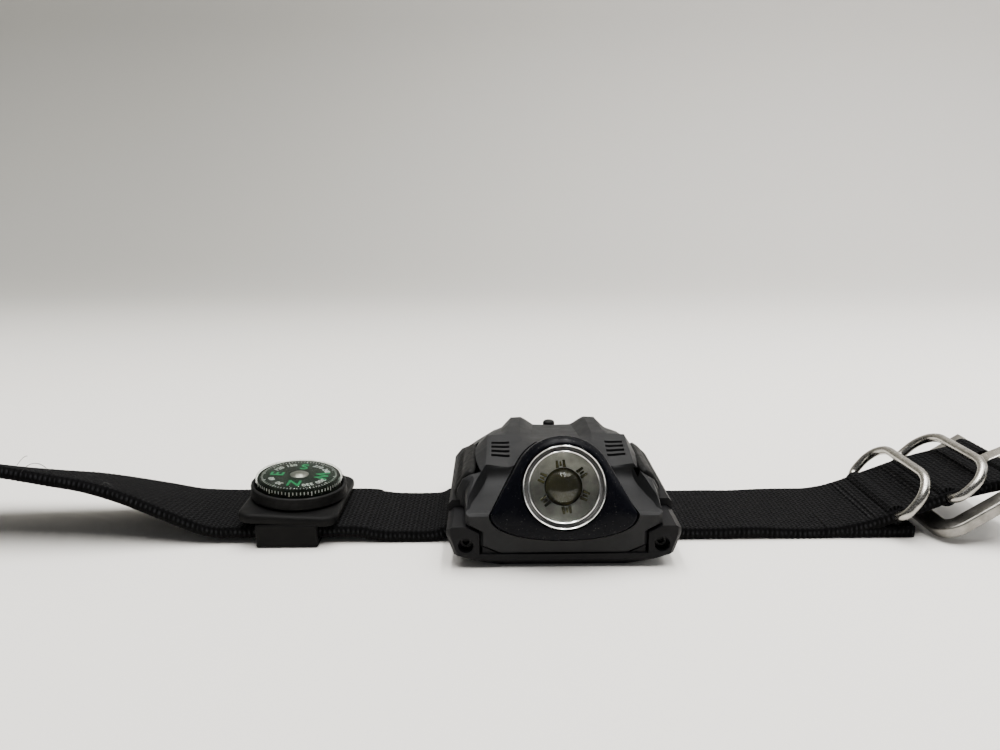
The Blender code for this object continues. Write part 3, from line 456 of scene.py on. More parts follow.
# Half outlines of the shell in millimetres, from its skirt to its middle, at stations along Y:
# y, skirt half width, then (x, z) of the ridge, deck edge, outer deck, horn outside, horn top,
# horn inside and saddle edge, and the saddle's height.
SHELL_STATIONS = [
    (-22.4, 15.9, [(18.6, 11.0), (18.0, 11.0), (13.5, 11.0), (10.5, 11.0),
                   (7.0, 11.0), (5.5, 11.0), (4.0, 11.0)], 11.0),
    (-21.9, 16.5, [(19.3, 11.35), (18.8, 11.35), (13.5, 11.5), (10.5, 11.6),
                   (7.0, 11.8), (5.5, 11.8), (4.0, 11.8)], 11.8),
    (-21.2, 16.5, [(19.35, 11.6), (18.8, 11.6), (13.5, 12.2), (10.5, 12.4),
                   (7.0, 12.5), (5.5, 12.6), (4.0, 12.6)], 12.6),
    (-17.9, 16.3, [(18.8, 13.6), (18.2, 13.6), (12.8, 14.6), (10.5, 14.8),
                   (7.0, 15.0), (5.5, 15.0), (4.0, 15.0)], 15.0),
    (-14.0, 16.3, [(17.2, 15.6), (16.6, 15.7), (12.0, 16.4), (10.5, 16.6),
                   (7.0, 17.2), (5.5, 17.2), (4.0, 17.2)], 17.2),
    (-10.4, 16.3, [(15.5, 17.3), (15.0, 17.35), (11.2, 16.8), (10.4, 16.8),
                   (7.0, 18.0), (5.5, 18.0), (4.0, 18.0)], 18.0),
    (-3.7, 16.3, [(15.3, 18.9), (14.9, 18.95), (11.2, 18.8), (10.4, 18.9),
                  (7.4, 19.5), (5.9, 19.4), (4.6, 19.4)], 19.4),
    (1.3, 16.3, [(15.2, 19.9), (14.8, 19.95), (11.4, 20.1), (10.8, 20.1),
                 (7.9, 20.2), (6.4, 19.6), (5.4, 19.2)], 19.1),
    (1.9, 16.3, [(15.0, 19.4), (14.5, 19.5), (11.7, 19.9), (10.75, 20.2),
                 (7.9, 20.25), (6.4, 19.6), (5.4, 19.1)], 19.0),
    (8.0, 16.3, [(14.5, 18.4), (13.9, 18.6), (12.2, 19.1), (10.3, 20.4),
                 (7.7, 20.5), (6.5, 19.9), (4.9, 18.8)], 18.6),
    (12.9, 16.3, [(13.8, 17.4), (13.2, 17.6), (12.0, 18.1), (9.8, 20.5),
                  (7.5, 20.6), (6.4, 19.9), (4.6, 18.4)], 18.2),
    (14.6, 16.3, [(13.4, 16.8), (12.8, 17.0), (11.6, 17.4), (9.5, 19.8),
                  (7.2, 20.0), (6.2, 19.4), (4.5, 18.2)], 18.0),
    (18.0, 16.3, [(12.4, 15.3), (12.0, 15.4), (10.6, 16.0), (9.0, 17.0),
                  (6.6, 17.5), (5.6, 17.3), (4.2, 17.1)], 17.0),
    (20.6, 15.8, [(11.4, 13.6), (11.0, 13.7), (9.8, 14.0), (8.4, 14.3),
                  (6.2, 14.8), (5.4, 14.8), (4.0, 14.8)], 14.8),
    (21.4, 14.6, [(10.8, 12.2), (10.4, 12.2), (9.4, 12.4), (8.4, 12.6),
                  (6.0, 12.8), (5.0, 12.8), (4.0, 12.8)], 12.8),
]

# The fenders outside the ridges, in millimetres: y, height of the underside at the skirt and outside,
# then (x, z) of the wing, side, bulge, crest and groove. The left one stands out further.
FENDER_STATIONS = [
    (-22.4, 7.7, 9.2, [(18.6, 9.2), (18.6, 10.0), (18.6, 10.5), (18.6, 10.9), (18.6, 11.0)]),
    (-21.9, 7.7, 9.2, [(19.3, 9.2), (19.35, 10.0), (19.35, 10.6), (19.35, 11.1), (19.35, 11.25)]),
    (-17.9, 7.7, 9.2, [(19.5, 9.2), (19.55, 10.8), (19.5, 12.0), (19.3, 13.1), (19.0, 13.5)]),
    (-14.0, 7.7, 9.2, [(19.8, 9.2), (19.9, 11.4), (19.6, 13.2), (18.6, 15.0), (17.8, 15.5)]),
    (-13.2, 7.7, 9.2, [(20.2, 9.2), (20.4, 11.4), (20.1, 13.2), (19.1, 15.0), (18.0, 15.7)]),
    (-12.6, 10.9, 10.9, [(21.5, 10.9), (21.6, 11.4), (21.3, 12.9), (20.2, 15.0), (18.6, 15.9)]),
    (-3.7, 10.9, 10.9, [(22.0, 10.9), (22.1, 11.3), (21.7, 13.0), (20.5, 15.1), (18.9, 16.2)]),
    (1.3, 10.9, 10.9, [(22.0, 10.9), (22.1, 11.3), (21.6, 13.0), (20.3, 15.0), (18.6, 16.2)]),
    (8.0, 10.9, 10.9, [(21.8, 10.9), (21.8, 11.3), (21.2, 12.8), (19.9, 14.7), (18.2, 15.8)]),
    (13.5, 10.9, 10.9, [(21.2, 10.9), (21.2, 11.2), (20.4, 12.4), (19.0, 13.9), (17.5, 14.9)]),
    (18.0, 10.9, 10.9, [(19.8, 10.9), (19.6, 11.1), (19.0, 12.0), (17.6, 13.0), (16.4, 13.6)]),
    (20.6, 10.9, 10.9, [(17.8, 10.9), (17.7, 11.0), (17.2, 11.5), (16.2, 12.1), (15.0, 12.5)]),
    (21.4, 10.9, 10.9, [(15.9, 10.9), (15.9, 11.0), (15.5, 11.2), (14.8, 11.4), (14.0, 11.6)]),
]
RIGHT_FENDER = 0.955


def between(a, b, share):
    """Mixes two numbers, or two equally long tuples or lists of them."""
    if isinstance(a, (tuple, list)):
        return [between(p, q, share) for p, q in zip(a, b)]
    return a + (b - a) * share


def scoop_floor(y):
    """Height of the concave slide in front of each louvred deck: steep at the deck, flat at the front."""
    share = min(max((DECK_FRONT - y) / (DECK_FRONT - SCOOP_FRONT), 0.0), 1.0)
    return 17.3 - 5.9 * share**0.27


def station_at(stations, y):
    """The station at y, mixed from its neighbours."""
    for low, high in zip(stations, stations[1:]):
        if low[0] <= y <= high[0]:
            return between(low, high, (y - low[0]) / (high[0] - low[0]))
    return stations[-1]


def shell_half(y, fender_scale=1.0):
    """The shell's half outline at y, in millimetres."""
    _, skirt, points, centre = station_at(SHELL_STATIONS, y)
    _, under_skirt, under_wing, fender = station_at(FENDER_STATIONS, y)
    points = [tuple(point) for point in points]
    if y < DECK_FRONT:
        floor = scoop_floor(y)
        for place, extra in ((1, 0.0), (2, 0.4), (3, 0.7)):
            points[place] = (points[place][0], min(floor + extra, points[place][1]))
    bulge = ease(y, -13.4, -12.4)
    narrow = 1 - (1 - fender_scale) * bulge
    outside = [(x * narrow, z - (1 - narrow) * 10) for x, z in fender[1:]]
    wing = (outside[0][0], under_wing)
    bottom, (across, rise) = (SKIRT_FRONT, SKIRT_CORNER) if y < LIP_BACK else (SKIRT_BEHIND, (0.05, 0.05))
    corner = [(skirt - across, bottom), (skirt, bottom + rise)]
    return [(0.0, bottom), *corner, (skirt, under_skirt), wing, *outside, *points, (0.0, centre)]


def shell_ring(y):
    """The shell's whole outline at y, in metres: the right half, then the left one."""
    right = shell_half(y, RIGHT_FENDER)
    left = shell_half(y)
    outline = right + [(-x, z) for x, z in reversed(left) if x > 1e-9]
    return [Vector((x, y, z)) * MM for x, z in outline]


def shell_levels():
    """Where the shell is sampled along Y: its stations, the scoop's top, and about every 1.2 mm."""
    levels = {station[0] for station in SHELL_STATIONS + FENDER_STATIONS} | {LIP_BACK - 0.01, LIP_BACK + 0.01}
    span = DECK_FRONT - SCOOP_FRONT
    levels |= {DECK_FRONT - span * share for share in (0.001, 0.008, 0.02, 0.045, 0.09, 0.16, 0.25)}
    steps = 36
    first, last = SHELL_STATIONS[0][0], SHELL_STATIONS[-1][0]
    for i in range(1, steps):
        y = first + (last - first) * i / steps
        if all(abs(y - level) > 0.45 for level in levels):
            levels.add(y)
    return sorted(levels)


def lens_place():
    """Z runs along the lens axis into the lamp; Y is up in the plane of the lens."""
    inward = Vector((0.0, math.cos(LENS_TILT), -math.sin(LENS_TILT)))
    upward = Vector((0.0, math.sin(LENS_TILT), math.cos(LENS_TILT)))
    turn = Matrix((upward.cross(inward), upward, inward)).transposed().to_4x4()
    return Matrix.Translation(LENS_CENTRE) @ turn


def nose_outline(grow=0.0, upper=40, lower=26):
    """The nose in the plane of the lens: an arch, straight flanks, flared corners and a round chin."""
    radius = 10.1 * MM + grow
    corner = Vector((14.6 * MM + grow, -5.4 * MM))
    corner_angle = math.atan2(corner.y, corner.x)
    touch = corner_angle + math.acos(radius / corner.length)
    chin = 10.4 * MM + grow
    half = []
    for step in range(upper):
        angle = math.pi / 2 + (corner_angle - math.pi / 2) * step / upper
        reach = radius if angle > touch else radius / math.cos(touch - angle)
        half.append((reach * math.cos(angle), reach * math.sin(angle)))
    for step in range(lower + 1):
        share = step / lower
        across = corner.x * math.cos(share * math.pi / 2) ** 0.9
        half.append((across, corner.y - (chin + corner.y) * (1 - (1 - share) ** 1.9)))
    half[-1] = (0.0, -chin)
    return [Vector(point) for point in mirrored(half)]


def prism(name, low, high):
    """A box to cut with, from two corners in millimetres."""
    return cutter(name, box_rings([v * MM for v in low], [v * MM for v in high]))


def shaft(name, place, radius, low, high, count=32):
    """A round bar to cut with, along place's Z axis."""
    rings = []
    for height in (low, high):
        turn = [2 * math.pi * i / count for i in range(count)]
        rings.append([place @ Vector((radius * math.cos(a), radius * math.sin(a), height)) for a in turn])
    return cutter(name, rings)


PAD_Y = (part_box("power_button")[0].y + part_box("power_button")[1].y) / 2
PAD_HALF = (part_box("power_button")[1].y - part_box("power_button")[0].y) / 2


def pad_outline(side, grow=0.0, deep=0.0):
    """A side pad's XZ outline on the right, in metres; the right-hand pad sits closer in."""
    inner = 1.6 * MM + grow + deep
    top = Vector((18.5 * MM, 16.9 * MM + grow))
    low = Vector((21.6 * MM, 11.1 * MM - grow))
    face = [
        top + Vector((0.3 * MM, -0.1 * MM)),
        Vector((20.1 * MM + grow, 15.9 * MM)),
        Vector((21.5 * MM + grow, 14.0 * MM)),
        Vector((22.2 * MM + grow, 12.2 * MM)),
        low + Vector((0.5 * MM + grow, 0.0)),
    ]
    back = [low - Vector((inner, 0.0)), Vector((top.x - inner + 0.5 * MM, top.y - 0.6 * MM)), top]
    shift = Vector((1.0 * MM if side > 0 else 0.0, 0.0))
    return [point - shift for point in face + back]


def pad_pocket(side):
    outline = pad_outline(side, 0.25 * MM, 0.8 * MM)
    outline[:5] = [point + Vector((3 * MM, 0.0)) for point in outline[:5]]
    rings = []
    for y in (PAD_Y - PAD_HALF - 0.25 * MM, PAD_Y + PAD_HALF + 0.25 * MM):
        rings.append([Vector((side * point.x, y, point.y)) for point in outline])
    return cutter(f"pocket_{side}", rings)


def shell_hollow():
    """The space inside the shell for the electronics."""
    stations = [
        (-20.2, 12.8, 10.0, 10.4),
        (-16.0, 13.9, 10.6, 11.2),
        (-11.6, 14.4, 10.9, 12.9),
        (-9.0, 14.7, 12.9, 15.6),
        (3.5, 14.75, 12.8, 17.6),
        (14.0, 14.6, 11.2, 16.4),
        (17.6, 14.0, 10.0, 14.6),
        (19.6, 12.6, 8.6, 13.2),
    ]
    rings = []
    for y, width, shoulder, top in stations:
        side = min(13.2, top - 2.4)
        half = [(0.0, 1.0), (width, 1.0), (width, side), (shoulder, top - 1.6), (4.0, top), (0.0, top)]
        rings.append([Vector((x, y, z)) * MM for x, z in mirrored(half)])
    return cutter("hollow", rings)


def make_upper_shell(looks):
    rings = [shell_ring(y) for y in shell_levels()]
    shell = loft("shell_cover", rings, looks["shell"], "lamp", sharp=24.0)
    place = lens_place()
    around = nose_outline(0.22 * MM)
    tunnel = [[place @ Vector((*point, depth)) for point in around] for depth in (-9 * MM, 18.2 * MM)]
    pad_mid = PAD_Y / MM
    tools = [shell_hollow(), cutter("tunnel", tunnel), pad_pocket(-1), pad_pocket(1)]
    tools.append(prism("stem_slot", (12, pad_mid - 3.3, 11.6), (20, pad_mid + 3.3, 15.2)))
    tools.append(prism("port_slot", (-20, pad_mid - 5.2, 11.3), (-12, pad_mid + 5.2, 15.4)))
    tools.append(shaft("mode_hole", Matrix.Translation(mode_place()), 1.65 * MM, -4 * MM, 8 * MM))
    for side in (-1, 1):
        for number in range(4):
            centre = Vector((side * 12.35, -6.75 + 1.57 * number, 18.2 + 0.34 * number))
            half = Vector((1.95, 0.42, 2.2))
            tools.append(prism(f"louvre_{side}_{number}", centre - half, centre + half))
    cut(shell, tools, crossing=True)
    shell.data.shade_smooth()
    shell.data.set_sharp_from_angle(angle=math.radians(18))
    bevel(shell, 0.16 * MM, 2, 32)
    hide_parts("upper_shell")


def mode_place():
    low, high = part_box("mode_button")
    return Vector(((low.x + high.x) / 2, (low.y + high.y) / 2, 16 * MM))


# ---------------------------------------------------------------- nose and lens


def make_nose(looks):
    """The nose: its face swells from the lens bore to a soft rim, then runs back into the lamp."""
    place = lens_place()
    outline = nose_outline()
    bore = 8.36 * MM
    rim = 0.4 * MM
    face = 2.3 * MM
    shares = (0.0, 0.06, 0.2, 0.4, 0.6, 0.8, 0.9, 0.96)
    rings = []
    for share in shares:
        depth = rim + (face - rim - 0.25 * MM) * share**1.7
        rings.append([place @ Vector((*face_point(p, bore, share), depth)) for p in outline])
    for share, depth in ((0.988, face - 0.1 * MM), (1.0, face + 0.35 * MM)):
        rings.append([place @ Vector((*face_point(p, bore, share), depth)) for p in outline])
    rings.append([place @ Vector((*p, nose_depth(p.y))) for p in outline])
    rings.append([place @ Vector((*(p.normalized() * bore), nose_depth(p.y))) for p in outline])
    rings.append([place @ Vector((*(p.normalized() * bore), rim + 0.5 * MM)) for p in outline])
    nose = loft("nose_cover", rings, looks["nose"], "lamp", closed=True, sharp=50.0)
    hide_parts("nose_cowl")


def face_point(point, bore, share):
    inner = point.normalized() * (bore + 0.12 * MM)
    return inner.lerp(point, share)


def nose_depth(height):
    """How deep the nose runs into the lamp at a height above the lens axis."""
    share = min(max((height + 2 * MM) / (12 * MM), 0.0), 1.0)
    return (9.0 + 7.5 * share) * MM


def lens_turned(name, profile, finish, stands_for, segments=128, sharp=30.0):
    piece = turned(name, scaled(profile), lens_place(), finish, "lamp", segments, sharp)
    for node in stands_for:
        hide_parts(node)
    return piece


def make_lens(looks):
    ring = [(7.94, -0.06), (8.02, -0.12), (8.12, -0.08), (8.2, 0.08), (8.22, 0.3), (8.22, 1.3), (7.8, 1.3)]
    ring += [(7.8, 0.35), (7.84, 0.1)]
    lens_turned("lens_bezel", ring, looks["bezel"], ["lens_ring"])
    make_knurl(looks)
    inner = [(6.86, 0.42), (6.96, 0.36), (7.06, 0.4), (7.1, 0.55), (7.1, 1.3), (6.8, 1.3), (6.8, 0.6)]
    lens_turned("lens_inner_ring", inner, looks["bezel"], [])
    cone = [(6.75, 1.25), (6.6, 1.35), (5.8, 1.6), (4.6, 1.95), (3.75, 2.3), (3.75, 2.6), (6.75, 2.6)]
    lens_turned("lens_cone", cone, looks["cone"], [])
    for number in range(6):
        make_lens_notch(looks, number, math.radians(23 + 60 * number))
    eye = [(0.001, 0.72), (0.9, 0.8), (1.8, 1.03), (2.6, 1.4), (3.2, 1.85), (3.5, 2.2), (3.6, 2.5)]
    eye += [(3.6, 3.0), (0.001, 3.0)]
    lens_turned("lens_eye", eye, looks["eye"], ["lens"], 96)
    chip = [(0.001, 3.12), (2.4, 3.12), (3.4, 3.2), (3.55, 3.5), (0.001, 3.5)]
    lens_turned("lens_glow", chip, looks["phosphor"], [], 64)
    window = [(0.001, 0.5), (6.7, 0.5), (6.76, 0.56), (6.76, 0.62), (0.001, 0.62)]
    lens_turned("lens_window", window, looks["window"], [], 96)


def make_knurl(looks):
    """The grooved band between the two bright rings."""
    place = lens_place()
    count = 180
    rings = []
    for i in range(count * 2):
        angle = math.pi * i / count
        swell = 0.07 if i % 2 else 0.0
        section = [(7.78, 0.75 - swell), (7.4, 0.62 - swell), (7.12, 0.72 - swell)]
        section += [(7.12, 1.25), (7.78, 1.25)]
        turn = (math.cos(angle), math.sin(angle))
        rings.append([place @ Vector((r * turn[0], r * turn[1], d)) for r, d in scaled(section)])
    band = loft("lens_knurl", rings, looks["bezel_dark"], "lamp", closed=True, sharp=20.0)


def scaled(section):
    return [(r * MM, d * MM) for r, d in section]


def make_lens_notch(looks, number, angle):
    """A clip notch in the cone: two dark lugs either side of an olive slot."""
    place = lens_place() @ Matrix.Rotation(angle, 4, "Z") @ Matrix.Translation((4.56 * MM, 0.0, 1.92 * MM))
    lugs = []
    for side in (-1, 1):
        low = Vector((-0.8, side * 0.68 - 0.34, -0.36))
        high = Vector((0.8, side * 0.68 + 0.34, 0.3))
        lugs.append((low, high))
    lugs.append((Vector((-0.5, -0.3, -0.12)), Vector((0.62, 0.3, 0.3))))
    vertices = []
    faces = []
    inset = 0.14
    for low, high in lugs:
        top = [(low.x + inset, low.y + inset), (high.x - inset, low.y + inset),
               (high.x - inset, high.y - inset), (low.x + inset, high.y - inset)]
        bottom = [(low.x, low.y), (high.x, low.y), (high.x, high.y), (low.x, high.y)]
        corners = [(x, y, z) for outline, z in ((top, low.z), (bottom, high.z)) for x, y in outline]
        add_solid(vertices, faces, [place @ (Vector(corner) * MM) for corner in corners], ring_faces(2, 4))
    notch = mesh_piece(f"lens_notch_{number + 1}", vertices, faces, looks["notch"], "lamp", 20.0)
    bevel(notch, 0.06 * MM, 2)


# ---------------------------------------------------------------- case and controls


def node_copy(node, name, finish, body):
    """A piece with a CAD node's own shape, to be worked on."""
    source = NODES[node]
    mesh = source.data.copy()
    mesh.name = name
    mesh.materials.clear()
    mesh.materials.append(finish)
    piece = bpy.data.objects.new(name, mesh)
    bpy.context.scene.collection.objects.link(piece)
    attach(piece, body)
    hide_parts(node)
    return piece


def make_case(looks):
    """The base: the CAD shape with a long chamfer under its front, sloping lug tops and soft edges."""
    case = node_copy("base_case", "case_base", looks["case"], "lamp")
    low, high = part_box("base_case")
    chamfer = 1.9 * MM
    outline = [(low.y - MM, -MM), (low.y + chamfer + MM, -MM), (low.y - MM, chamfer + MM)]
    rings = [[Vector((x, y, z)) for y, z in outline] for x in (low.x - MM, high.x + MM)]
    tools = [cutter("chin", rings)]
    lug_top = [(16.0, 7.0), (16.7, 7.45), (19.4, 8.95), (22.0, 8.95), (24.0, 7.6), (24.0, 12.0), (16.0, 12.0)]
    for side in (-1, 1):
        rings = [[Vector((side * x * MM, y, z * MM)) for x, z in lug_top] for y in (low.y - MM, -13.0 * MM)]
        tools.append(cutter(f"lug_top_{side}", rings))
    cut(case, tools)
    make_case_corners(looks)
    case.data.shade_smooth()
    case.data.set_sharp_from_angle(angle=math.radians(24))
    bevel(case, 0.3 * MM, 3, 24)


def make_case_corners(looks):
    """The slanted corners of the opening that the shell's front lip stands in."""
    back = -21.5
    front = -22.35
    skirt = 16.15
    low = SKIRT_FRONT - 0.3
    for side, name in ((-1, "left"), (1, "right")):
        corner = [(skirt - SKIRT_CORNER[0], low), (skirt, low), (skirt, SKIRT_FRONT + SKIRT_CORNER[1] - 0.15)]
        rings = [[Vector((side * x, y, z)) * MM for x, z in corner] for y in (front, back)]
        piece = loft(f"case_corner_{name}", rings, looks["case"], "lamp")


def make_pins(looks):
    """The strap pins: heads with a socket, sunk into the lugs."""
    for side, place in (("left", PIN_LEFT), ("right", PIN_RIGHT)):
        low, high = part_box(f"strap_pin_{side}")
        turn = Matrix.Translation((place.x, low.y, place.z)) @ Matrix.Rotation(-math.pi / 2, 4, "X")
        length = (high.y - low.y) / MM
        profile = [(0.001, 2.4), (0.7, 2.4), (0.7, 1.5), (1.05, 1.4), (1.22, 1.6), (1.22, 2.6), (0.9, 2.6)]
        profile += [(0.9, length - 0.3), (0.6, length), (0.001, length)]
        outline = [(r * MM, z * MM) for r, z in profile]
        pin = turned(f"pin_{side}", outline, turn, looks["pin"], "lamp", 40, 35.0)
        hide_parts(f"strap_pin_{side}")


def repaint(node, finish, width=0.0):
    """Gives a kept CAD node its finish, and soft edges if width is set."""
    mesh = NODES[node].data
    mesh.materials.clear()
    mesh.materials.append(finish)
    if width:
        bevel(NODES[node], width, 2)


def keep_nodes(looks):
    repaint("back_plate", looks["case"], 0.2 * MM)
    for number in range(1, 5):
        repaint(f"back_screw_{number}", looks["dark_steel"], 0.08 * MM)
    repaint("case_seal", looks["rubber"], 0.1 * MM)
    repaint("lens_gasket", looks["rubber"], 0.05 * MM)
    repaint("lens_holder", looks["clip"], 0.1 * MM)
    repaint("led_emitter", looks["phosphor"], 0.05 * MM)
    repaint("led_board", looks["board"], 0.05 * MM)
    repaint("heat_sink", looks["foil"], 0.1 * MM)
    repaint("battery", looks["foil"], 0.4 * MM)
    repaint("control_board", looks["board"], 0.05 * MM)
    repaint("usb_socket", looks["dark_steel"], 0.15 * MM)
    repaint("side_switch", looks["clip"], 0.15 * MM)
    repaint("mode_switch", looks["clip"], 0.15 * MM)
    repaint("buckle_bar", looks["steel"], 0.05 * MM)
    repaint("compass_pivot", looks["dark_steel"], 0.03 * MM)
    repaint("card_magnet", looks["dark_steel"], 0.1 * MM)


def rounded_outline(points, radius, steps=5):
    """Rounds the corners of a closed outline of 2-D points."""
    made = []
    for i, corner in enumerate(points):
        before = points[i - 1]
        after = points[(i + 1) % len(points)]
        first = corner + (before - corner).normalized() * min(radius, (before - corner).length * 0.45)
        last = corner + (after - corner).normalized() * min(radius, (after - corner).length * 0.45)
        for step in range(steps + 1):
            t = step / steps
            made.append(first * (1 - t) ** 2 + corner * 2 * t * (1 - t) + last * t * t)
    return made


def make_pad(name, side, finish, body, node, plug):
    """A side pad with rounded ends, fine cross ribs and a stem or plug behind it."""
    outline = rounded_outline(pad_outline(side), 0.9 * MM)
    middle = sum(outline, Vector((0.0, 0.0))) / len(outline)
    steps = 150
    pitch = 0.62 * MM
    rings = []
    for i in range(steps + 1):
        along = -1 + 2 * i / steps
        y = PAD_Y + along * PAD_HALF
        size = (1 - abs(along) ** 9) ** 0.42 * 0.45 + 0.55
        rib = 0.07 * MM * math.cos(2 * math.pi * y / pitch) * ease(0.96 - abs(along), 0.0, 0.08)
        ring = []
        for point in outline:
            drawn = middle + (point - middle) * size
            outside = ease(drawn.x - middle.x, 0.0, 0.8 * MM)
            drawn += (drawn - middle).normalized() * rib * outside
            ring.append(Vector((side * drawn.x, y, drawn.y)))
        rings.append(ring)
    vertices = [point for ring in rings for point in ring]
    faces = ring_faces(len(rings), len(rings[0]))
    low, high = [(side * x * MM, PAD_Y + y * MM, z * MM) for x, y, z in plug]
    add_solid(vertices, faces, [corner for ring in box_rings(low, high) for corner in ring], ring_faces(2, 4))
    pad = mesh_piece(name, vertices, faces, finish, body, 40.0)
    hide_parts(node)


def make_controls(looks):
    stem = ((14.2, -2.5, 12.2), (19.2, 2.5, 14.6))
    make_pad("power_pad", 1, looks["rubber"], "power_button", "power_button", stem)
    plug = ((17.6, -4.0, 12.2), (19.6, 4.0, 13.8))
    make_pad("usb_flap", -1, looks["rubber"], "usb_cover", "usb_cover", plug)
    low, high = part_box("mode_button")
    radius = (high.x - low.x) / 2
    base = mode_place()
    place = Matrix.Translation((base.x, base.y, 0.0))
    top = high.z - 0.6 * MM
    outline = [(0.0001 * MM, low.z), (radius, low.z)]
    for inset, drop in ((0.0, 0.6), (0.08, 0.3), (0.3, 0.1), (0.6, 0.02)):
        outline.append((radius - inset * MM, top - drop * MM))
    outline.append((0.0001 * MM, top))
    knob = turned("mode_knob", outline, place, looks["rubber"], "mode_button", 48, 40.0)
    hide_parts("mode_button")


# ---------------------------------------------------------------- straps


def weave(s, u, half):
    """Height of the weave at s along and u across the webbing, in metres: knobs and stray fibres."""
    warp = math.cos(2 * math.pi * u / (1.55 * MM))
    weft = math.cos(2 * math.pi * s / (1.2 * MM) + 0.6 * smooth_noise(Vector((s, u, 0.0)) / (2.5 * MM)))
    fuzz = smooth_noise(Vector((s, u, 0.3)) / (0.45 * MM))
    calm = ease(half - abs(u), 0.0, 0.6 * MM)
    return (0.11 * warp * weft + 0.05 * fuzz) * calm * MM


def edge_knobs(s):
    """How far the selvedge bulges where each weft thread turns back."""
    knob = 0.16 * math.cos(2 * math.pi * s / (1.2 * MM))
    return (knob + 0.08 * smooth_noise(Vector((s, 0.0, 0.0)) / (1.7 * MM))) * MM


def webbing_section(centre, along, roll, s, half, thick):
    """One cross-section of the webbing and its cloth coordinates: s along, u across."""
    across = Vector((0.0, math.cos(roll), -math.sin(roll)))
    normal = along.cross(across).normalized()
    count = 92
    points = []
    cloth = []
    corner = 0.55 * MM
    flat = half - corner
    for side in (1, -1):
        for i in range(count + 1):
            u = side * (-flat + 2 * flat * i / count)
            lift = side * (thick / 2 + weave(s, u, half) - 0.05 * MM)
            points.append(centre + across * u + normal * lift)
            cloth.append((s / MM, u / MM))
        for i in range(1, 6):
            angle = side * (math.pi / 2 - math.pi * i / 6)
            reach = corner + edge_knobs(s + side * 0.3 * MM) - 0.1 * MM
            u = side * flat + math.cos(angle) * reach * side
            lift = math.sin(angle) * thick / 2 * (0.96 if i in (1, 5) else 0.9)
            points.append(centre + across * u + normal * lift)
            cloth.append((s / MM, side * (half / MM + 0.2 * i)))
    return points, cloth


def path_samples(stations, step):
    """Points every step along a smooth path through (x, z, roll) stations in millimetres and degrees."""
    dense = catmull(stations, 0.05)
    made = [dense[0]]
    travelled = 0.0
    due = step
    for a, b in zip(dense, dense[1:]):
        travelled += math.hypot(b[0] - a[0], b[1] - a[1])
        if travelled >= due:
            made.append(b)
            due += step
    return made


def make_webbing(name, stations, finish, body, node, wave=0.0, step=0.2):
    """A woven strap along (x, z, roll) stations; wave lets its far edge ripple."""
    samples = path_samples(stations, step)
    rings = []
    cloth = []
    for i, (x, z, roll) in enumerate(samples):
        before = samples[max(i - 3, 0)]
        after = samples[min(i + 3, len(samples) - 1)]
        along = Vector((after[0] - before[0], 0.0, after[1] - before[1])).normalized()
        s = i * step * MM
        centre = Vector((x, 0.0, z)) * MM
        sway = wave * math.sin(2 * math.pi * x / 34.0 + 1.1) * ease(x, 34.0, 46.0) * (1 - ease(x, 60.0, 68.0))
        points, places = webbing_section(centre, along, math.radians(roll + sway), s, STRAP_HALF, STRAP_THICK)
        rings.append(points)
        cloth.append(places)
    vertices = [point for ring in rings for point in ring]
    faces = ring_faces(len(rings), len(rings[0]))
    strap = mesh_piece(name, vertices, faces, finish, body, 180.0)
    add_cloth_map(strap.data, [place for ring in cloth for place in ring])
    if node:
        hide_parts(node)
    return strap


def add_cloth_map(mesh, places):
    """Stores the cloth coordinates, one pair for each vertex, as the map that the weave follows."""
    cloth = mesh.uv_layers.new(name="weave")
    for loop in mesh.loops:
        cloth.data[loop.index].uv = places[loop.vertex_index]


def arc_points(start, end, rise, steps=14):
    """Points of a bowed line from start to end whose middle is raised by rise."""
    made = []
    for i in range(steps + 1):
        t = i / steps
        made.append(start.lerp(end, t) + rise * (4 * t * (1 - t)))
    return made


def eye_end(name, place, toward, finish, body, rod_radius, wall=1.25 * MM, inset=0.2 * MM):
    """The strap's woven loop round a rod at place; toward is the strap's middle just outside the loop."""
    inner = rod_radius + 0.22 * MM
    outer = inner + wall
    run = (toward - place).normalized()
    start = math.atan2(run.z, run.x)
    half = STRAP_HALF - inset
    count = 60
    across_steps = 84
    vertices = []
    faces = []
    cloth = []
    for i in range(count):
        angle = start + 2 * math.pi * i / count
        direction = Vector((math.cos(angle), 0.0, math.sin(angle)))
        s = outer * 2 * math.pi * i / count
        for j in range(across_steps + 1):
            u = -half + 2 * half * j / across_steps
            lift = outer + weave(s, u, half)
            vertices.append(place + direction * lift + Vector((0.0, u, 0.0)))
            cloth.append((s / MM, u / MM))
        for j in range(3):
            u = half * (1 if j == 0 else 0 if j == 1 else -1)
            vertices.append(place + direction * inner + Vector((0.0, u, 0.0)))
            cloth.append((s / MM, u / MM))
    ring = across_steps + 4
    for i in range(count):
        low = i * ring
        high = ((i + 1) % count) * ring
        for j in range(ring):
            k = (j + 1) % ring
            faces.append((low + j, low + k, high + k, high + j))
    loop = mesh_piece(name, vertices, faces, finish, body, 60.0)
    add_cloth_map(loop.data, cloth)
    return loop


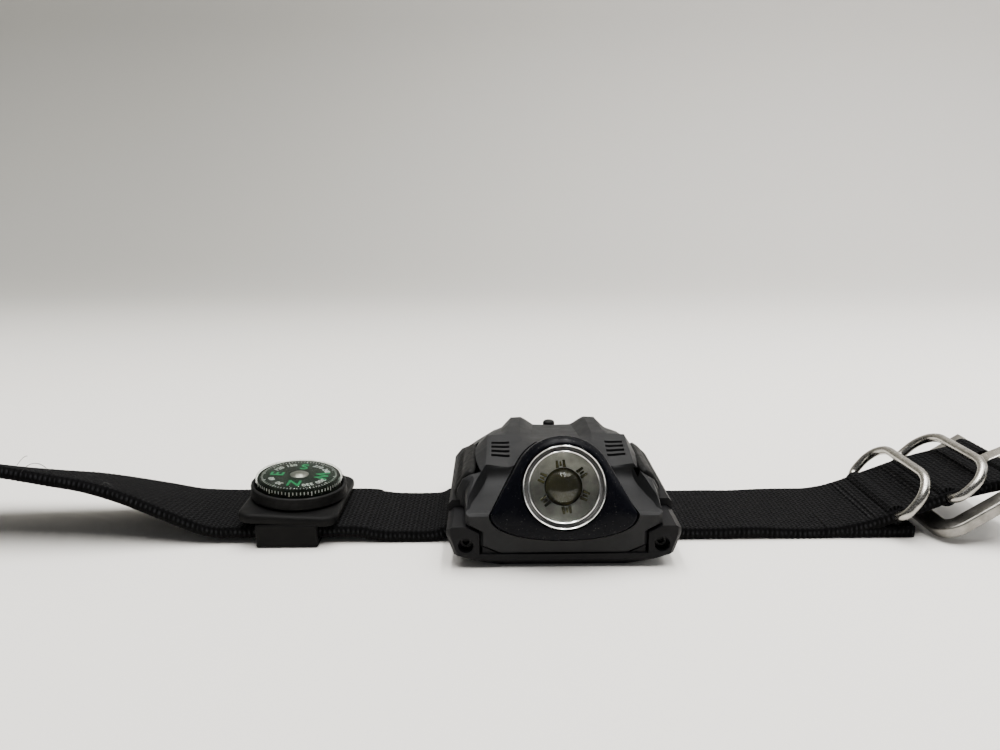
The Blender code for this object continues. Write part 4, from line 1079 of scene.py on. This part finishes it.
TAIL_STATIONS = [
    (-133.0, 14.5, 24.5),
    (-124.0, 13.2, 24.0),
    (-115.5, 12.1, 22.4),
    (-107.5, 11.0, 19.9),
    (-100.0, 9.7, 18.8),
    (-92.0, 7.6, 15.4),
    (-84.0, 5.0, 10.0),
    (-79.5, 3.8, 5.5),
    (-76.0, 3.0, 2.0),
    (-72.5, 2.6, 0.0),
    (-68.0, 2.6, 0.0),
    (-44.5, 2.6, 0.0),
    (-40.0, 1.9, 0.0),
    (-36.0, 1.42, 0.0),
    (-27.0, 1.42, 0.0),
    (-24.0, 2.45, 0.0),
    (-21.6, 3.9, 0.0),
]
BUCKLE_STATIONS = [
    (21.6, 3.9, 0.0),
    (24.0, 2.45, 0.0),
    (27.0, 1.42, 0.0),
    (40.0, 1.42, 0.0),
    (57.0, 1.42, 0.0),
    (63.0, 2.1, 0.0),
    (68.0, 3.4, 0.0),
    (72.0, 5.0, 0.0),
    (77.0, 6.9, 0.0),
    (82.5, 9.0, 0.0),
    (88.0, 10.6, 0.0),
    (95.4, 12.3, 0.0),
]


# The strap's doubled end, which lies on the table under the keeper rings.
FOLD_STATIONS = [
    (57.0, 1.36, 0.0),
    (62.0, 1.33, 0.0),
    (70.0, 1.32, 0.0),
    (76.0, 1.32, 0.0),
]


def make_straps(looks):
    make_webbing("strap_tail", TAIL_STATIONS, looks["webbing"], "tail_strap", "tail_strap")
    eye_end("strap_tail_loop", PIN_LEFT, PIN_LEFT + Vector((-2.0, 0.0, -1.0)) * MM, looks["webbing"],
            "tail_strap", 0.9 * MM)
    make_webbing("strap_buckle", BUCKLE_STATIONS, looks["webbing"], "buckle_strap", "buckle_strap", wave=1.6)
    make_webbing("strap_fold", FOLD_STATIONS, looks["webbing"], "buckle_strap", None)
    eye_end("strap_buckle_loop", PIN_RIGHT, PIN_RIGHT + Vector((2.0, 0.0, -1.0)) * MM, looks["webbing"],
            "buckle_strap", 0.9 * MM)
    for number, spot in enumerate((RING_1, RING_2), 1):
        eye_end(f"strap_sleeve_{number}", spot, spot + Vector((-2.0, 0.0, -1.0)) * MM, looks["webbing"],
                "buckle_strap", 1.0 * MM, 0.95 * MM, 1.0 * MM)
    make_bar_sleeve(looks)
    make_seams(looks)
    make_fibres(looks)


def make_bar_sleeve(looks):
    """The strap's end loop round the buckle bar, open in the middle for the tongue."""
    slot = 2.3 * MM
    for side in (-1, 1):
        centre = BUCKLE_BAR + Vector((0.0, side * (STRAP_HALF + slot) / 2, 0.0))
        half = (STRAP_HALF - slot) / 2 - 0.1 * MM
        rings = []
        count = 48
        for i in range(count):
            angle = 2 * math.pi * i / count
            direction = Vector((math.cos(angle), 0.0, math.sin(angle)))
            ring = []
            for j in range(37):
                u = -half + 2 * half * j / 36
                lift = 2.42 * MM + weave(2.42 * MM * angle, u, half)
                ring.append(centre + direction * lift + Vector((0.0, u, 0.0)))
            ring.append(centre + direction * 1.22 * MM + Vector((0.0, half, 0.0)))
            ring.append(centre + direction * 1.22 * MM + Vector((0.0, -half, 0.0)))
            rings.append(ring)
        sleeve = loft(f"strap_end_{'near' if side < 0 else 'far'}", rings, looks["webbing"], "buckle_strap",
                      closed=True, sharp=60.0)
        places = [(v.co.x / MM, v.co.y / MM) for v in sleeve.data.vertices]
        add_cloth_map(sleeve.data, places)


def strap_top(stations, x):
    """Height of a strap's upper face at x, in millimetres."""
    for a, b in zip(stations, stations[1:]):
        if a[0] <= x <= b[0]:
            return a[1] + (b[1] - a[1]) * (x - a[0]) / (b[0] - a[0]) + STRAP_THICK / MM / 2
    return stations[-1][1]


def make_seams(looks):
    """Rows of stitches across the strap on each side of the keeper rings' sleeves."""
    for number, x in enumerate((66.4, 67.6, 76.6, 77.6, 90.4), 1):
        height = strap_top(BUCKLE_STATIONS, x)
        vertices = []
        faces = []
        count = 13
        pitch = 1.55
        for k in range(count):
            y = (k - (count - 1) / 2) * pitch
            start = Vector((x, y - 0.55, height - 0.02)) * MM
            end = Vector((x + 0.15, y + 0.55, height - 0.02)) * MM
            points = arc_points(start, end, Vector((0.0, 0.0, 0.26 * MM)), 8)
            add_solid(vertices, faces, *tube_mesh(points, 0.2 * MM, 8))
        seam = mesh_piece(f"strap_seam_{number}", vertices, faces, looks["thread"], "buckle_strap", 180.0)


def tube_mesh(points, radius, count):
    rings = []
    for i, point in enumerate(points):
        before = points[max(i - 1, 0)]
        after = points[min(i + 1, len(points) - 1)]
        run = (after - before).normalized()
        side = run.orthogonal().normalized()
        other = run.cross(side)
        turn = [2 * math.pi * k / count for k in range(count)]
        rings.append([point + (side * math.cos(a) + other * math.sin(a)) * radius for a in turn])
    return [p for ring in rings for p in ring], ring_faces(len(rings), count)


def make_fibres(looks):
    """A few broken threads that stand out of the tail's edges."""
    strands = [
        ((-117.6, -9.8, 17.2), (-118.6, -9.6, 22.6), (0.9, 0.0, 0.3)),
        ((-112.5, -9.9, 16.5), (-107.0, -9.4, 16.4), (0.0, 0.3, 1.7)),
        ((-130.6, -9.9, 19.0), (-132.4, -9.0, 21.0), (0.2, 0.0, 0.7)),
        ((-131.8, -10.0, 19.2), (-131.0, -11.2, 20.3), (0.3, 0.0, 0.4)),
        ((-126.0, 9.8, 10.8), (-124.0, 10.9, 12.6), (0.2, 0.0, 0.6)),
        ((-96.0, -10.1, 13.6), (-93.9, -11.0, 13.8), (0.0, 0.0, 0.5)),
    ]
    vertices = []
    faces = []
    for start, end, rise in strands:
        points = arc_points(Vector(start) * MM, Vector(end) * MM, Vector(rise) * MM, 16)
        add_solid(vertices, faces, *tube_mesh(points, 0.07 * MM, 6))
    fluff = mesh_piece("strap_fibres", vertices, faces, looks["fibre"], "tail_strap", 180.0)


# ---------------------------------------------------------------- rings and buckle


RING_HEIGHT = 10.2 * MM
RING_WIDTH = 25.4 * MM
WIRE = 1.0 * MM
RING_LEANS = (math.radians(36), math.radians(45))
FRAME_SLOPE = math.radians(33)
FRAME_LENGTH = 20.5 * MM
FRAME_WIDTH = 30.2 * MM
FRAME_BAND = 3.6 * MM
FRAME_THICK = 2.6 * MM
TONGUE_LENGTH = 18.0 * MM
TONGUE_RISE = math.radians(24)
TONGUE_WIDTH = 3.4 * MM


def corner_path(half_x, half_y, top_radius, low_radius, steps=14, runs=10):
    """Points round a rectangle with rounded corners, also along its straight runs."""
    corners = []
    for corner, (sx, sy) in enumerate(((1, 1), (-1, 1), (-1, -1), (1, -1))):
        radius = top_radius if sy > 0 else low_radius
        centre = Vector((sx * (half_x - radius), sy * (half_y - radius)))
        arc = []
        for step in range(steps + 1):
            angle = math.pi / 2 * (corner + step / steps)
            arc.append(centre + Vector((math.cos(angle), math.sin(angle))) * radius)
        corners.append(arc)
    path = []
    for arc, following in zip(corners, corners[1:] + corners[:1]):
        path += arc
        path += [arc[-1].lerp(following[0], i / runs) for i in range(1, runs)]
    return path


def make_keeper(looks, number, place, lean):
    """A closed ring of round wire, with a slight unevenness of hand-bent wire."""
    upward = Vector((math.sin(lean), 0.0, math.cos(lean)))
    outward = Vector((math.cos(lean), 0.0, -math.sin(lean)))
    path = corner_path(RING_WIDTH / 2, RING_HEIGHT / 2, 6.2 * MM, 2.6 * MM)
    count = 28
    rings = []
    for i, point in enumerate(path):
        run = (path[(i + 1) % len(path)] - path[i - 1]).normalized()
        side = Vector((run.y, -run.x))
        centre = place + Vector((0.0, point.x, 0.0)) + upward * (point.y + RING_HEIGHT / 2)
        normal = Vector((0.0, side.x, 0.0)) + upward * side.y
        turn = [2 * math.pi * k / count for k in range(count)]
        swell = WIRE * (1 + 0.02 * smooth_noise(centre / (3 * MM)))
        rings.append([centre + (normal * math.cos(a) + outward * math.sin(a)) * swell for a in turn])
    ring = loft(
        f"ring_wire_{number}", rings, looks["steel"], f"keeper_ring_{number}", closed=True, sharp=180.0
    )
    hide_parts(f"keeper_ring_{number}")


def band_section():
    """The buckle band's rounded section: shares of its half width and its thickness."""
    corner = 0.3
    points = []
    for turn, (sx, sy) in enumerate(((1, 1), (-1, 1), (-1, -1), (1, -1))):
        for step in range(6):
            angle = math.pi / 2 * (turn + step / 5)
            across = sx * (1 - corner) + corner * math.cos(angle)
            rise = sy * (1 - corner) + corner * math.sin(angle)
            points.append((across, rise / 2))
    return points


def make_buckle(looks):
    """A flat steel U that hangs from the buckle bar."""
    along = Vector((-math.cos(FRAME_SLOPE), 0.0, -math.sin(FRAME_SLOPE)))
    normal = Vector((math.sin(FRAME_SLOPE), 0.0, -math.cos(FRAME_SLOPE)))
    half = (FRAME_WIDTH - FRAME_BAND) / 2
    reach = FRAME_LENGTH - FRAME_BAND / 2
    radius = 3.4 * MM
    start = -2.2 * MM
    path = [Vector((start + (reach - radius - start) * i / 10, half)) for i in range(10)]
    path += [Vector((reach - radius + radius * math.sin(a), half - radius + radius * math.cos(a)))
             for a in [math.pi / 2 * i / 14 for i in range(15)]]
    path += [Vector((point.x, -point.y)) for point in reversed(path)]
    rings = []
    for i, point in enumerate(path):
        run = (path[min(i + 1, len(path) - 1)] - path[max(i - 1, 0)]).normalized()
        side = Vector((run.y, -run.x)) * FRAME_BAND / 2
        ring = []
        for across, rise in band_section():
            spot = point + side * across
            place = BUCKLE_BAR + along * spot.x + Vector((0.0, spot.y, 0.0))
            ring.append(place + normal * rise * FRAME_THICK)
        rings.append(ring)
    buckle = loft("buckle_band", rings, looks["buckle"], "buckle", sharp=50.0)
    tools = []
    turn = Matrix.Rotation(math.pi / 2, 4, "X")
    for side in (-1, 1):
        centre = BUCKLE_BAR + Vector((0.0, side * half, 0.0))
        tools.append(shaft(f"bar_hole_{side}", Matrix.Translation(centre) @ turn, 0.85 * MM, -4 * MM, 4 * MM))
    cut(buckle, tools)
    bevel(buckle, 0.12 * MM, 2, 40)
    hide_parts("buckle_frame")


def make_tongue(looks):
    """A prong that curls round the buckle bar and sticks out past the strap's end."""
    inner = WIRE + 0.28 * MM
    outer = inner + 0.9 * MM
    middle = (inner + outer) / 2
    along = Vector((math.cos(TONGUE_RISE), 0.0, math.sin(TONGUE_RISE)))
    normal = Vector((-math.sin(TONGUE_RISE), 0.0, math.cos(TONGUE_RISE)))
    line = []
    for step in range(41):
        angle = math.radians(390 - 300 * step / 40)
        line.append(Vector((math.cos(angle), math.sin(angle))) * middle)
    for step in range(1, 25):
        x = TONGUE_LENGTH * step / 24
        drop = 0.4 * MM * max((x - 14 * MM) / (4 * MM), 0.0) ** 1.5
        line.append(Vector((x, middle - drop)))
    rings = []
    for i, point in enumerate(line):
        run = (line[min(i + 1, len(line) - 1)] - line[max(i - 1, 0)]).normalized()
        side = Vector((-run.y, run.x))
        left = (TONGUE_LENGTH - point.x) / (1.6 * MM)
        taper = math.sqrt(max(1 - (1 - left) ** 2, 0.12)) if left < 1 and i > 41 else 1.0
        ring = []
        for across, rise in band_section():
            spot = point + side * rise * (outer - inner) * (0.4 + 0.6 * taper)
            place = BUCKLE_BAR + along * spot.x + normal * spot.y
            ring.append(place + Vector((0.0, across * TONGUE_WIDTH / 2 * taper, 0.0)))
        rings.append(ring)
    tongue = loft("buckle_prong", rings, looks["steel"], "buckle_tongue", sharp=60.0)
    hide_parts("buckle_tongue")


# ---------------------------------------------------------------- compass


CLIP_LENGTH = 21.0 * MM
CLIP_HALF = 12.9 * MM
CLIP_WALL = 1.3 * MM
STRAP_LIFT = 1.3 * MM


def compass_place():
    """Z is square to the compass face; the origin is the middle of the clip plate's top."""
    turn = Vector((0.0, 0.0, 1.0)).rotation_difference(COMPASS_UP).to_matrix().to_4x4()
    return Matrix.Translation(COMPASS_AT) @ turn


def compass_turned(name, profile, finish, body, node, segments=128, sharp=30.0):
    outline = [(max(r, 0.001) * MM, z * MM) for r, z in profile]
    piece = turned(name, outline, compass_place(), finish, body, segments, sharp)
    if node:
        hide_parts(node)
    return piece


def make_clip(looks):
    """The rubbery plate with rounded corners and a dished seat, over a channel that wraps the strap."""
    hook = 3.6 * MM
    inner = CLIP_HALF - CLIP_WALL
    strap_top_z = STRAP_LIFT + STRAP_THICK + 0.25 * MM
    under = STRAP_LIFT - 0.25 * MM
    outline = [
        (-CLIP_HALF, 0.1 * MM),
        (-inner + hook, 0.1 * MM),
        (-inner + hook, under),
        (-inner, under),
        (-inner, strap_top_z),
        (inner, strap_top_z),
        (inner, under),
        (inner - hook, under),
        (inner - hook, 0.1 * MM),
        (CLIP_HALF, 0.1 * MM),
        (CLIP_HALF, 5.2 * MM),
        (-CLIP_HALF, 5.2 * MM),
    ]
    centre = compass_place().translation.x
    ends = (centre - 6.5 * MM, centre + 6.5 * MM)
    channel = loft("clip_channel", [[Vector((x, y, z)) for y, z in outline] for x in ends], looks["clip"],
                   "compass", sharp=30.0)
    bevel(channel, 0.4 * MM, 4)
    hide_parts("compass_clip")
    place = compass_place()
    levels = [(-0.45, -1.95), (-0.12, -1.9), (0.0, -1.6), (0.0, -0.75), (-0.12, -0.35), (-0.45, -0.1)]
    levels += [(-0.9, 0.0), (-1.5, -0.02)]
    rings = []
    for inset, z in levels:
        half_x = CLIP_LENGTH / 2 + inset * MM
        half_y = CLIP_HALF - 0.2 * MM + inset * MM
        radius = (3.0 + inset) * MM
        path = corner_path(half_x, half_y, radius, radius, 10, 12)
        ring = []
        for point in path:
            warp = 0.25 * MM * smooth_noise(Vector((point.x, point.y, 0.0)) / (9 * MM))
            ring.append(place @ Vector((point.x, point.y, z * MM + warp * (0.5 if z > -1 else 0.2))))
        rings.append(ring)
    plate = loft("clip_plate", rings, looks["clip"], "compass", sharp=50.0)


def make_capsule(looks):
    cup = [(0.0, 0.32), (9.6, 0.3), (10.3, 0.34), (10.52, 0.6), (10.45, 1.3), (10.35, 2.2), (10.42, 2.5)]
    cup += [(10.36, 2.78), (10.1, 2.95), (9.8, 2.9), (9.66, 2.7), (9.64, 1.15), (0.0, 1.1)]
    compass_turned(
        "compass_rubber", cup, looks["rubber"], "compass", "compass_cup", sharp=40.0
    )
    outside = [(9.4, 1.4), (9.42, 3.2), (9.4, 4.1), (9.25, 4.6), (8.8, 4.95), (7.6, 5.2), (6.0, 5.35)]
    outside += [(4.0, 5.48), (2.0, 5.55), (0.0, 5.58)]
    inside = [(0.0, 5.3), (2.0, 5.27), (4.0, 5.2), (6.0, 5.08), (7.6, 4.93), (8.6, 4.75), (9.0, 4.48)]
    inside += [(9.14, 4.1), (9.14, 1.4)]
    dome = outside + inside
    compass_turned(
        "compass_crystal", dome, looks["clear"], "compass", "compass_dome", sharp=60.0
    )
    wall = [(9.04, 1.2), (9.04, 4.05), (8.9, 4.35), (8.68, 4.52), (8.56, 4.45), (8.56, 1.2)]
    compass_turned("compass_wall", wall, looks["card"], "compass", None, sharp=40.0)
    make_ticks("compass_wall_ticks", looks["white"], "compass", (9.0, 9.08, 0.08, 3.0, 3.95),
               (9.0, 9.08, 0.08, 3.35, 3.95))


def make_ticks(name, finish, body, long_tick, short_tick):
    """72 ticks about the card's axis, long every 30 degrees; one is (inner, outer, half width, low, high)."""
    place = compass_place()
    vertices = []
    faces = []
    for number in range(72):
        inner, outer, width, low, high = short_tick if number % 6 else long_tick
        turn = place @ Matrix.Rotation(2 * math.pi * number / 72, 4, "Z")
        outline = ((outer, -width), (outer, width), (inner, width), (inner, -width))
        corners = [turn @ (Vector((r, t, z)) * MM) for z in (low, high) for r, t in outline]
        add_solid(vertices, faces, corners, ring_faces(2, 4))
    ticks = mesh_piece(name, vertices, faces, finish, body, 20.0)


# Height of the card's face over the clip plate, in millimetres
CARD_FACE = 4.4


def make_card(looks):
    card = [(0.0, 4.2), (7.6, 4.2), (8.4, 4.22), (8.48, 4.3), (8.4, 4.38), (7.4, 4.4), (0.0, 4.4)]
    compass_turned("card_disc", card, looks["card"], "compass_card", "compass_card", sharp=40.0)
    cap = [(0.0, 4.43), (1.95, 4.43), (2.05, 4.55), (1.6, 4.78), (1.0, 4.98), (0.5, 5.08), (0.0, 5.1)]
    compass_turned("card_stud", cap, looks["buckle"], "compass_card", "card_cap", 48, 60.0)
    letters = {"S": 90, "W": 0, "N": -90, "E": 180}
    for letter, degrees in letters.items():
        angle = math.radians(degrees)
        print_letter(f"card_letter_{letter}", letter, angle, 4.75 * MM, 4.1 * MM, looks["green"])
    for number in range(12):
        degrees = 30 * number
        if degrees % 90:
            text = str((270 - degrees) % 360)
            angle = math.radians(degrees)
            print_letter(f"card_number_{number}", text, angle, 6.1 * MM, 1.7 * MM, looks["white"])
    heights = (CARD_FACE - 0.02, CARD_FACE + 0.04)
    make_ticks("card_ticks", looks["white"], "compass_card", (7.45, 8.2, 0.09, *heights),
               (7.78, 8.2, 0.055, *heights))


def print_letter(name, text, angle, distance, height, finish):
    """Raised print on the card; its top points outwards at that angle."""
    curve = bpy.data.curves.new(name, "FONT")
    curve.body = text
    curve.size = height
    curve.align_x = "CENTER"
    curve.align_y = "CENTER"
    curve.extrude = 0.03 * MM
    curve.offset = 0.012 * height
    source = bpy.data.objects.new(f"{name}_text", curve)
    bpy.context.scene.collection.objects.link(source)
    graph = bpy.context.evaluated_depsgraph_get()
    mesh = bpy.data.meshes.new_from_object(source.evaluated_get(graph))
    bpy.data.objects.remove(source, do_unlink=True)
    spot = Matrix.Translation((distance, 0.0, (CARD_FACE + 0.03) * MM))
    place = compass_place() @ Matrix.Rotation(angle, 4, "Z") @ spot
    mesh.transform(place @ Matrix.Rotation(-math.pi / 2, 4, "Z"))
    mesh.materials.clear()
    mesh.materials.append(finish)
    piece = bpy.data.objects.new(name, mesh)
    bpy.context.scene.collection.objects.link(piece)
    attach(piece, "compass_card")


# ---------------------------------------------------------------- studio


def make_stage():
    """A pale table that sweeps up into a wall behind the lamp."""
    floor = new_material("table", (0.8, 0.78, 0.75), 0.85, **{"Specular_IOR_Level": 0.2})
    # painted shade: the wall behind the table and the left side are darkened in the table's colour
    paint_stage_shade(floor)
    profile = [(-0.9, 0.0), (0.3, 0.0)]
    radius = 0.22
    for step in range(25):
        angle = math.pi / 2 * step / 24
        profile.append((0.36 + radius * math.sin(angle), radius - radius * math.cos(angle)))
    profile.append((0.36 + radius, 1.6))
    vertices = []
    for x in (-1.6, 1.6):
        vertices += [(x, y, z) for y, z in profile]
    count = len(profile)
    faces = [(i, i + 1, count + i + 1, count + i) for i in range(count - 1)]
    mesh = bpy.data.meshes.new("table")
    mesh.from_pydata(vertices, [], faces)
    mesh.shade_smooth()
    mesh.materials.append(floor)
    table = bpy.data.objects.new("table", mesh)
    bpy.context.scene.collection.objects.link(table)


def paint_stage_shade(floor):
    """Painted shade: the table is pale and darker on the left, and the wall behind it greyer, more so on the
    left, where the lamps light them less.
    """
    place = add_node(floor, "ShaderNodeTexCoord")
    axes = add_node(floor, "ShaderNodeSeparateXYZ")
    link(floor, place, "Object", axes, "Vector")
    depth = add_node(floor, "ShaderNodeMapRange", interpolation_type="SMOOTHSTEP")
    depth.inputs["From Min"].default_value = 0.05
    depth.inputs["From Max"].default_value = 0.46
    link(floor, axes, "Y", depth, "Value")
    side = add_node(floor, "ShaderNodeMapRange", interpolation_type="SMOOTHSTEP")
    side.inputs["From Min"].default_value = -0.35
    side.inputs["From Max"].default_value = 0.45
    link(floor, axes, "X", side, "Value")
    # painted shade: the near table and far wall tones, each darker on the left
    tones = []
    near = ((0.74, 0.722, 0.68), (0.98, 0.955, 0.915))
    far = ((0.29, 0.285, 0.265), (0.54, 0.525, 0.50))
    for left, right in (near, far):
        tone = add_node(floor, "ShaderNodeMix", data_type="RGBA")
        tone.inputs[6].default_value = (*left, 1.0)
        tone.inputs[7].default_value = (*right, 1.0)
        link(floor, side, "Result", tone, 0)
        tones.append(tone)
    mixed = add_node(floor, "ShaderNodeMix", data_type="RGBA")
    link(floor, depth, "Result", mixed, 0)
    link(floor, tones[0], 2, mixed, 6)
    link(floor, tones[1], 2, mixed, 7)
    link(floor, mixed, 2, shader_of(floor), "Base Color")


def add_area(name, place, target, size, power, colour):
    lamp = bpy.data.lights.new(name, "AREA")
    lamp.shape = "RECTANGLE"
    lamp.size = size[0]
    lamp.size_y = size[1]
    lamp.energy = power
    lamp.color = colour
    holder = bpy.data.objects.new(name, lamp)
    holder.location = place
    aim = Vector(target) - Vector(place)
    holder.rotation_euler = aim.to_track_quat("-Z", "Y").to_euler()
    bpy.context.scene.collection.objects.link(holder)


def make_lights():
    world = bpy.data.worlds.new("room")
    world.use_nodes = True
    background = world.node_tree.nodes["Background"]
    background.inputs["Color"].default_value = (0.95, 0.96, 1.0, 1.0)
    background.inputs["Strength"].default_value = 0.16
    bpy.context.scene.world = world
    warm = (1.0, 0.985, 0.96)
    for name, x in (("tube_left", -0.14), ("tube_right", 0.16)):
        add_area(name, (x, 0.02, 1.05), (x, 0.02, 0.0), (0.07, 1.1), 9.0, warm)
    add_area("ceiling", (0.15, 0.2, 1.25), (0.05, 0.0, 0.0), (1.6, 1.2), 30.0, warm)
    add_area("window", (1.3, 0.1, 0.7), (0.0, 0.0, 0.0), (0.8, 0.8), 4.0, (0.96, 0.98, 1.0))


def make_camera():
    """Stands in front and above, a little left of the lamp, looking down about 14 degrees."""
    pitch = math.radians(13.8)
    yaw = math.radians(0.24)
    roll = math.radians(-0.43)
    forward = Vector((math.sin(yaw) * math.cos(pitch), math.cos(yaw) * math.cos(pitch), -math.sin(pitch)))
    right = forward.cross(Vector((0.0, 0.0, 1.0))).normalized()
    up = right.cross(forward)
    across = right * math.cos(roll) + up * math.sin(roll)
    rise = up * math.cos(roll) - right * math.sin(roll)
    turn = Matrix((across, rise, -forward)).transposed().to_4x4()
    lens = bpy.data.cameras.new("camera")
    lens.sensor_width = 36.0
    lens.lens = 28.0
    lens.clip_start = 0.005
    holder = bpy.data.objects.new("camera", lens)
    holder.matrix_world = Matrix.Translation(Vector((-12.98, -163.54, 74.18)) * MM) @ turn
    bpy.context.scene.collection.objects.link(holder)
    bpy.context.scene.camera = holder


def main():
    looks = make_materials()
    make_camera()
    make_stage()
    make_lights()
    keep_nodes(looks)
    make_case(looks)
    make_upper_shell(looks)
    make_nose(looks)
    make_lens(looks)
    make_pins(looks)
    make_controls(looks)
    make_straps(looks)
    make_keeper(looks, 1, RING_1, RING_LEANS[0])
    make_keeper(looks, 2, RING_2, RING_LEANS[1])
    make_buckle(looks)
    make_tongue(looks)
    make_clip(looks)
    make_capsule(looks)
    make_card(looks)


main()
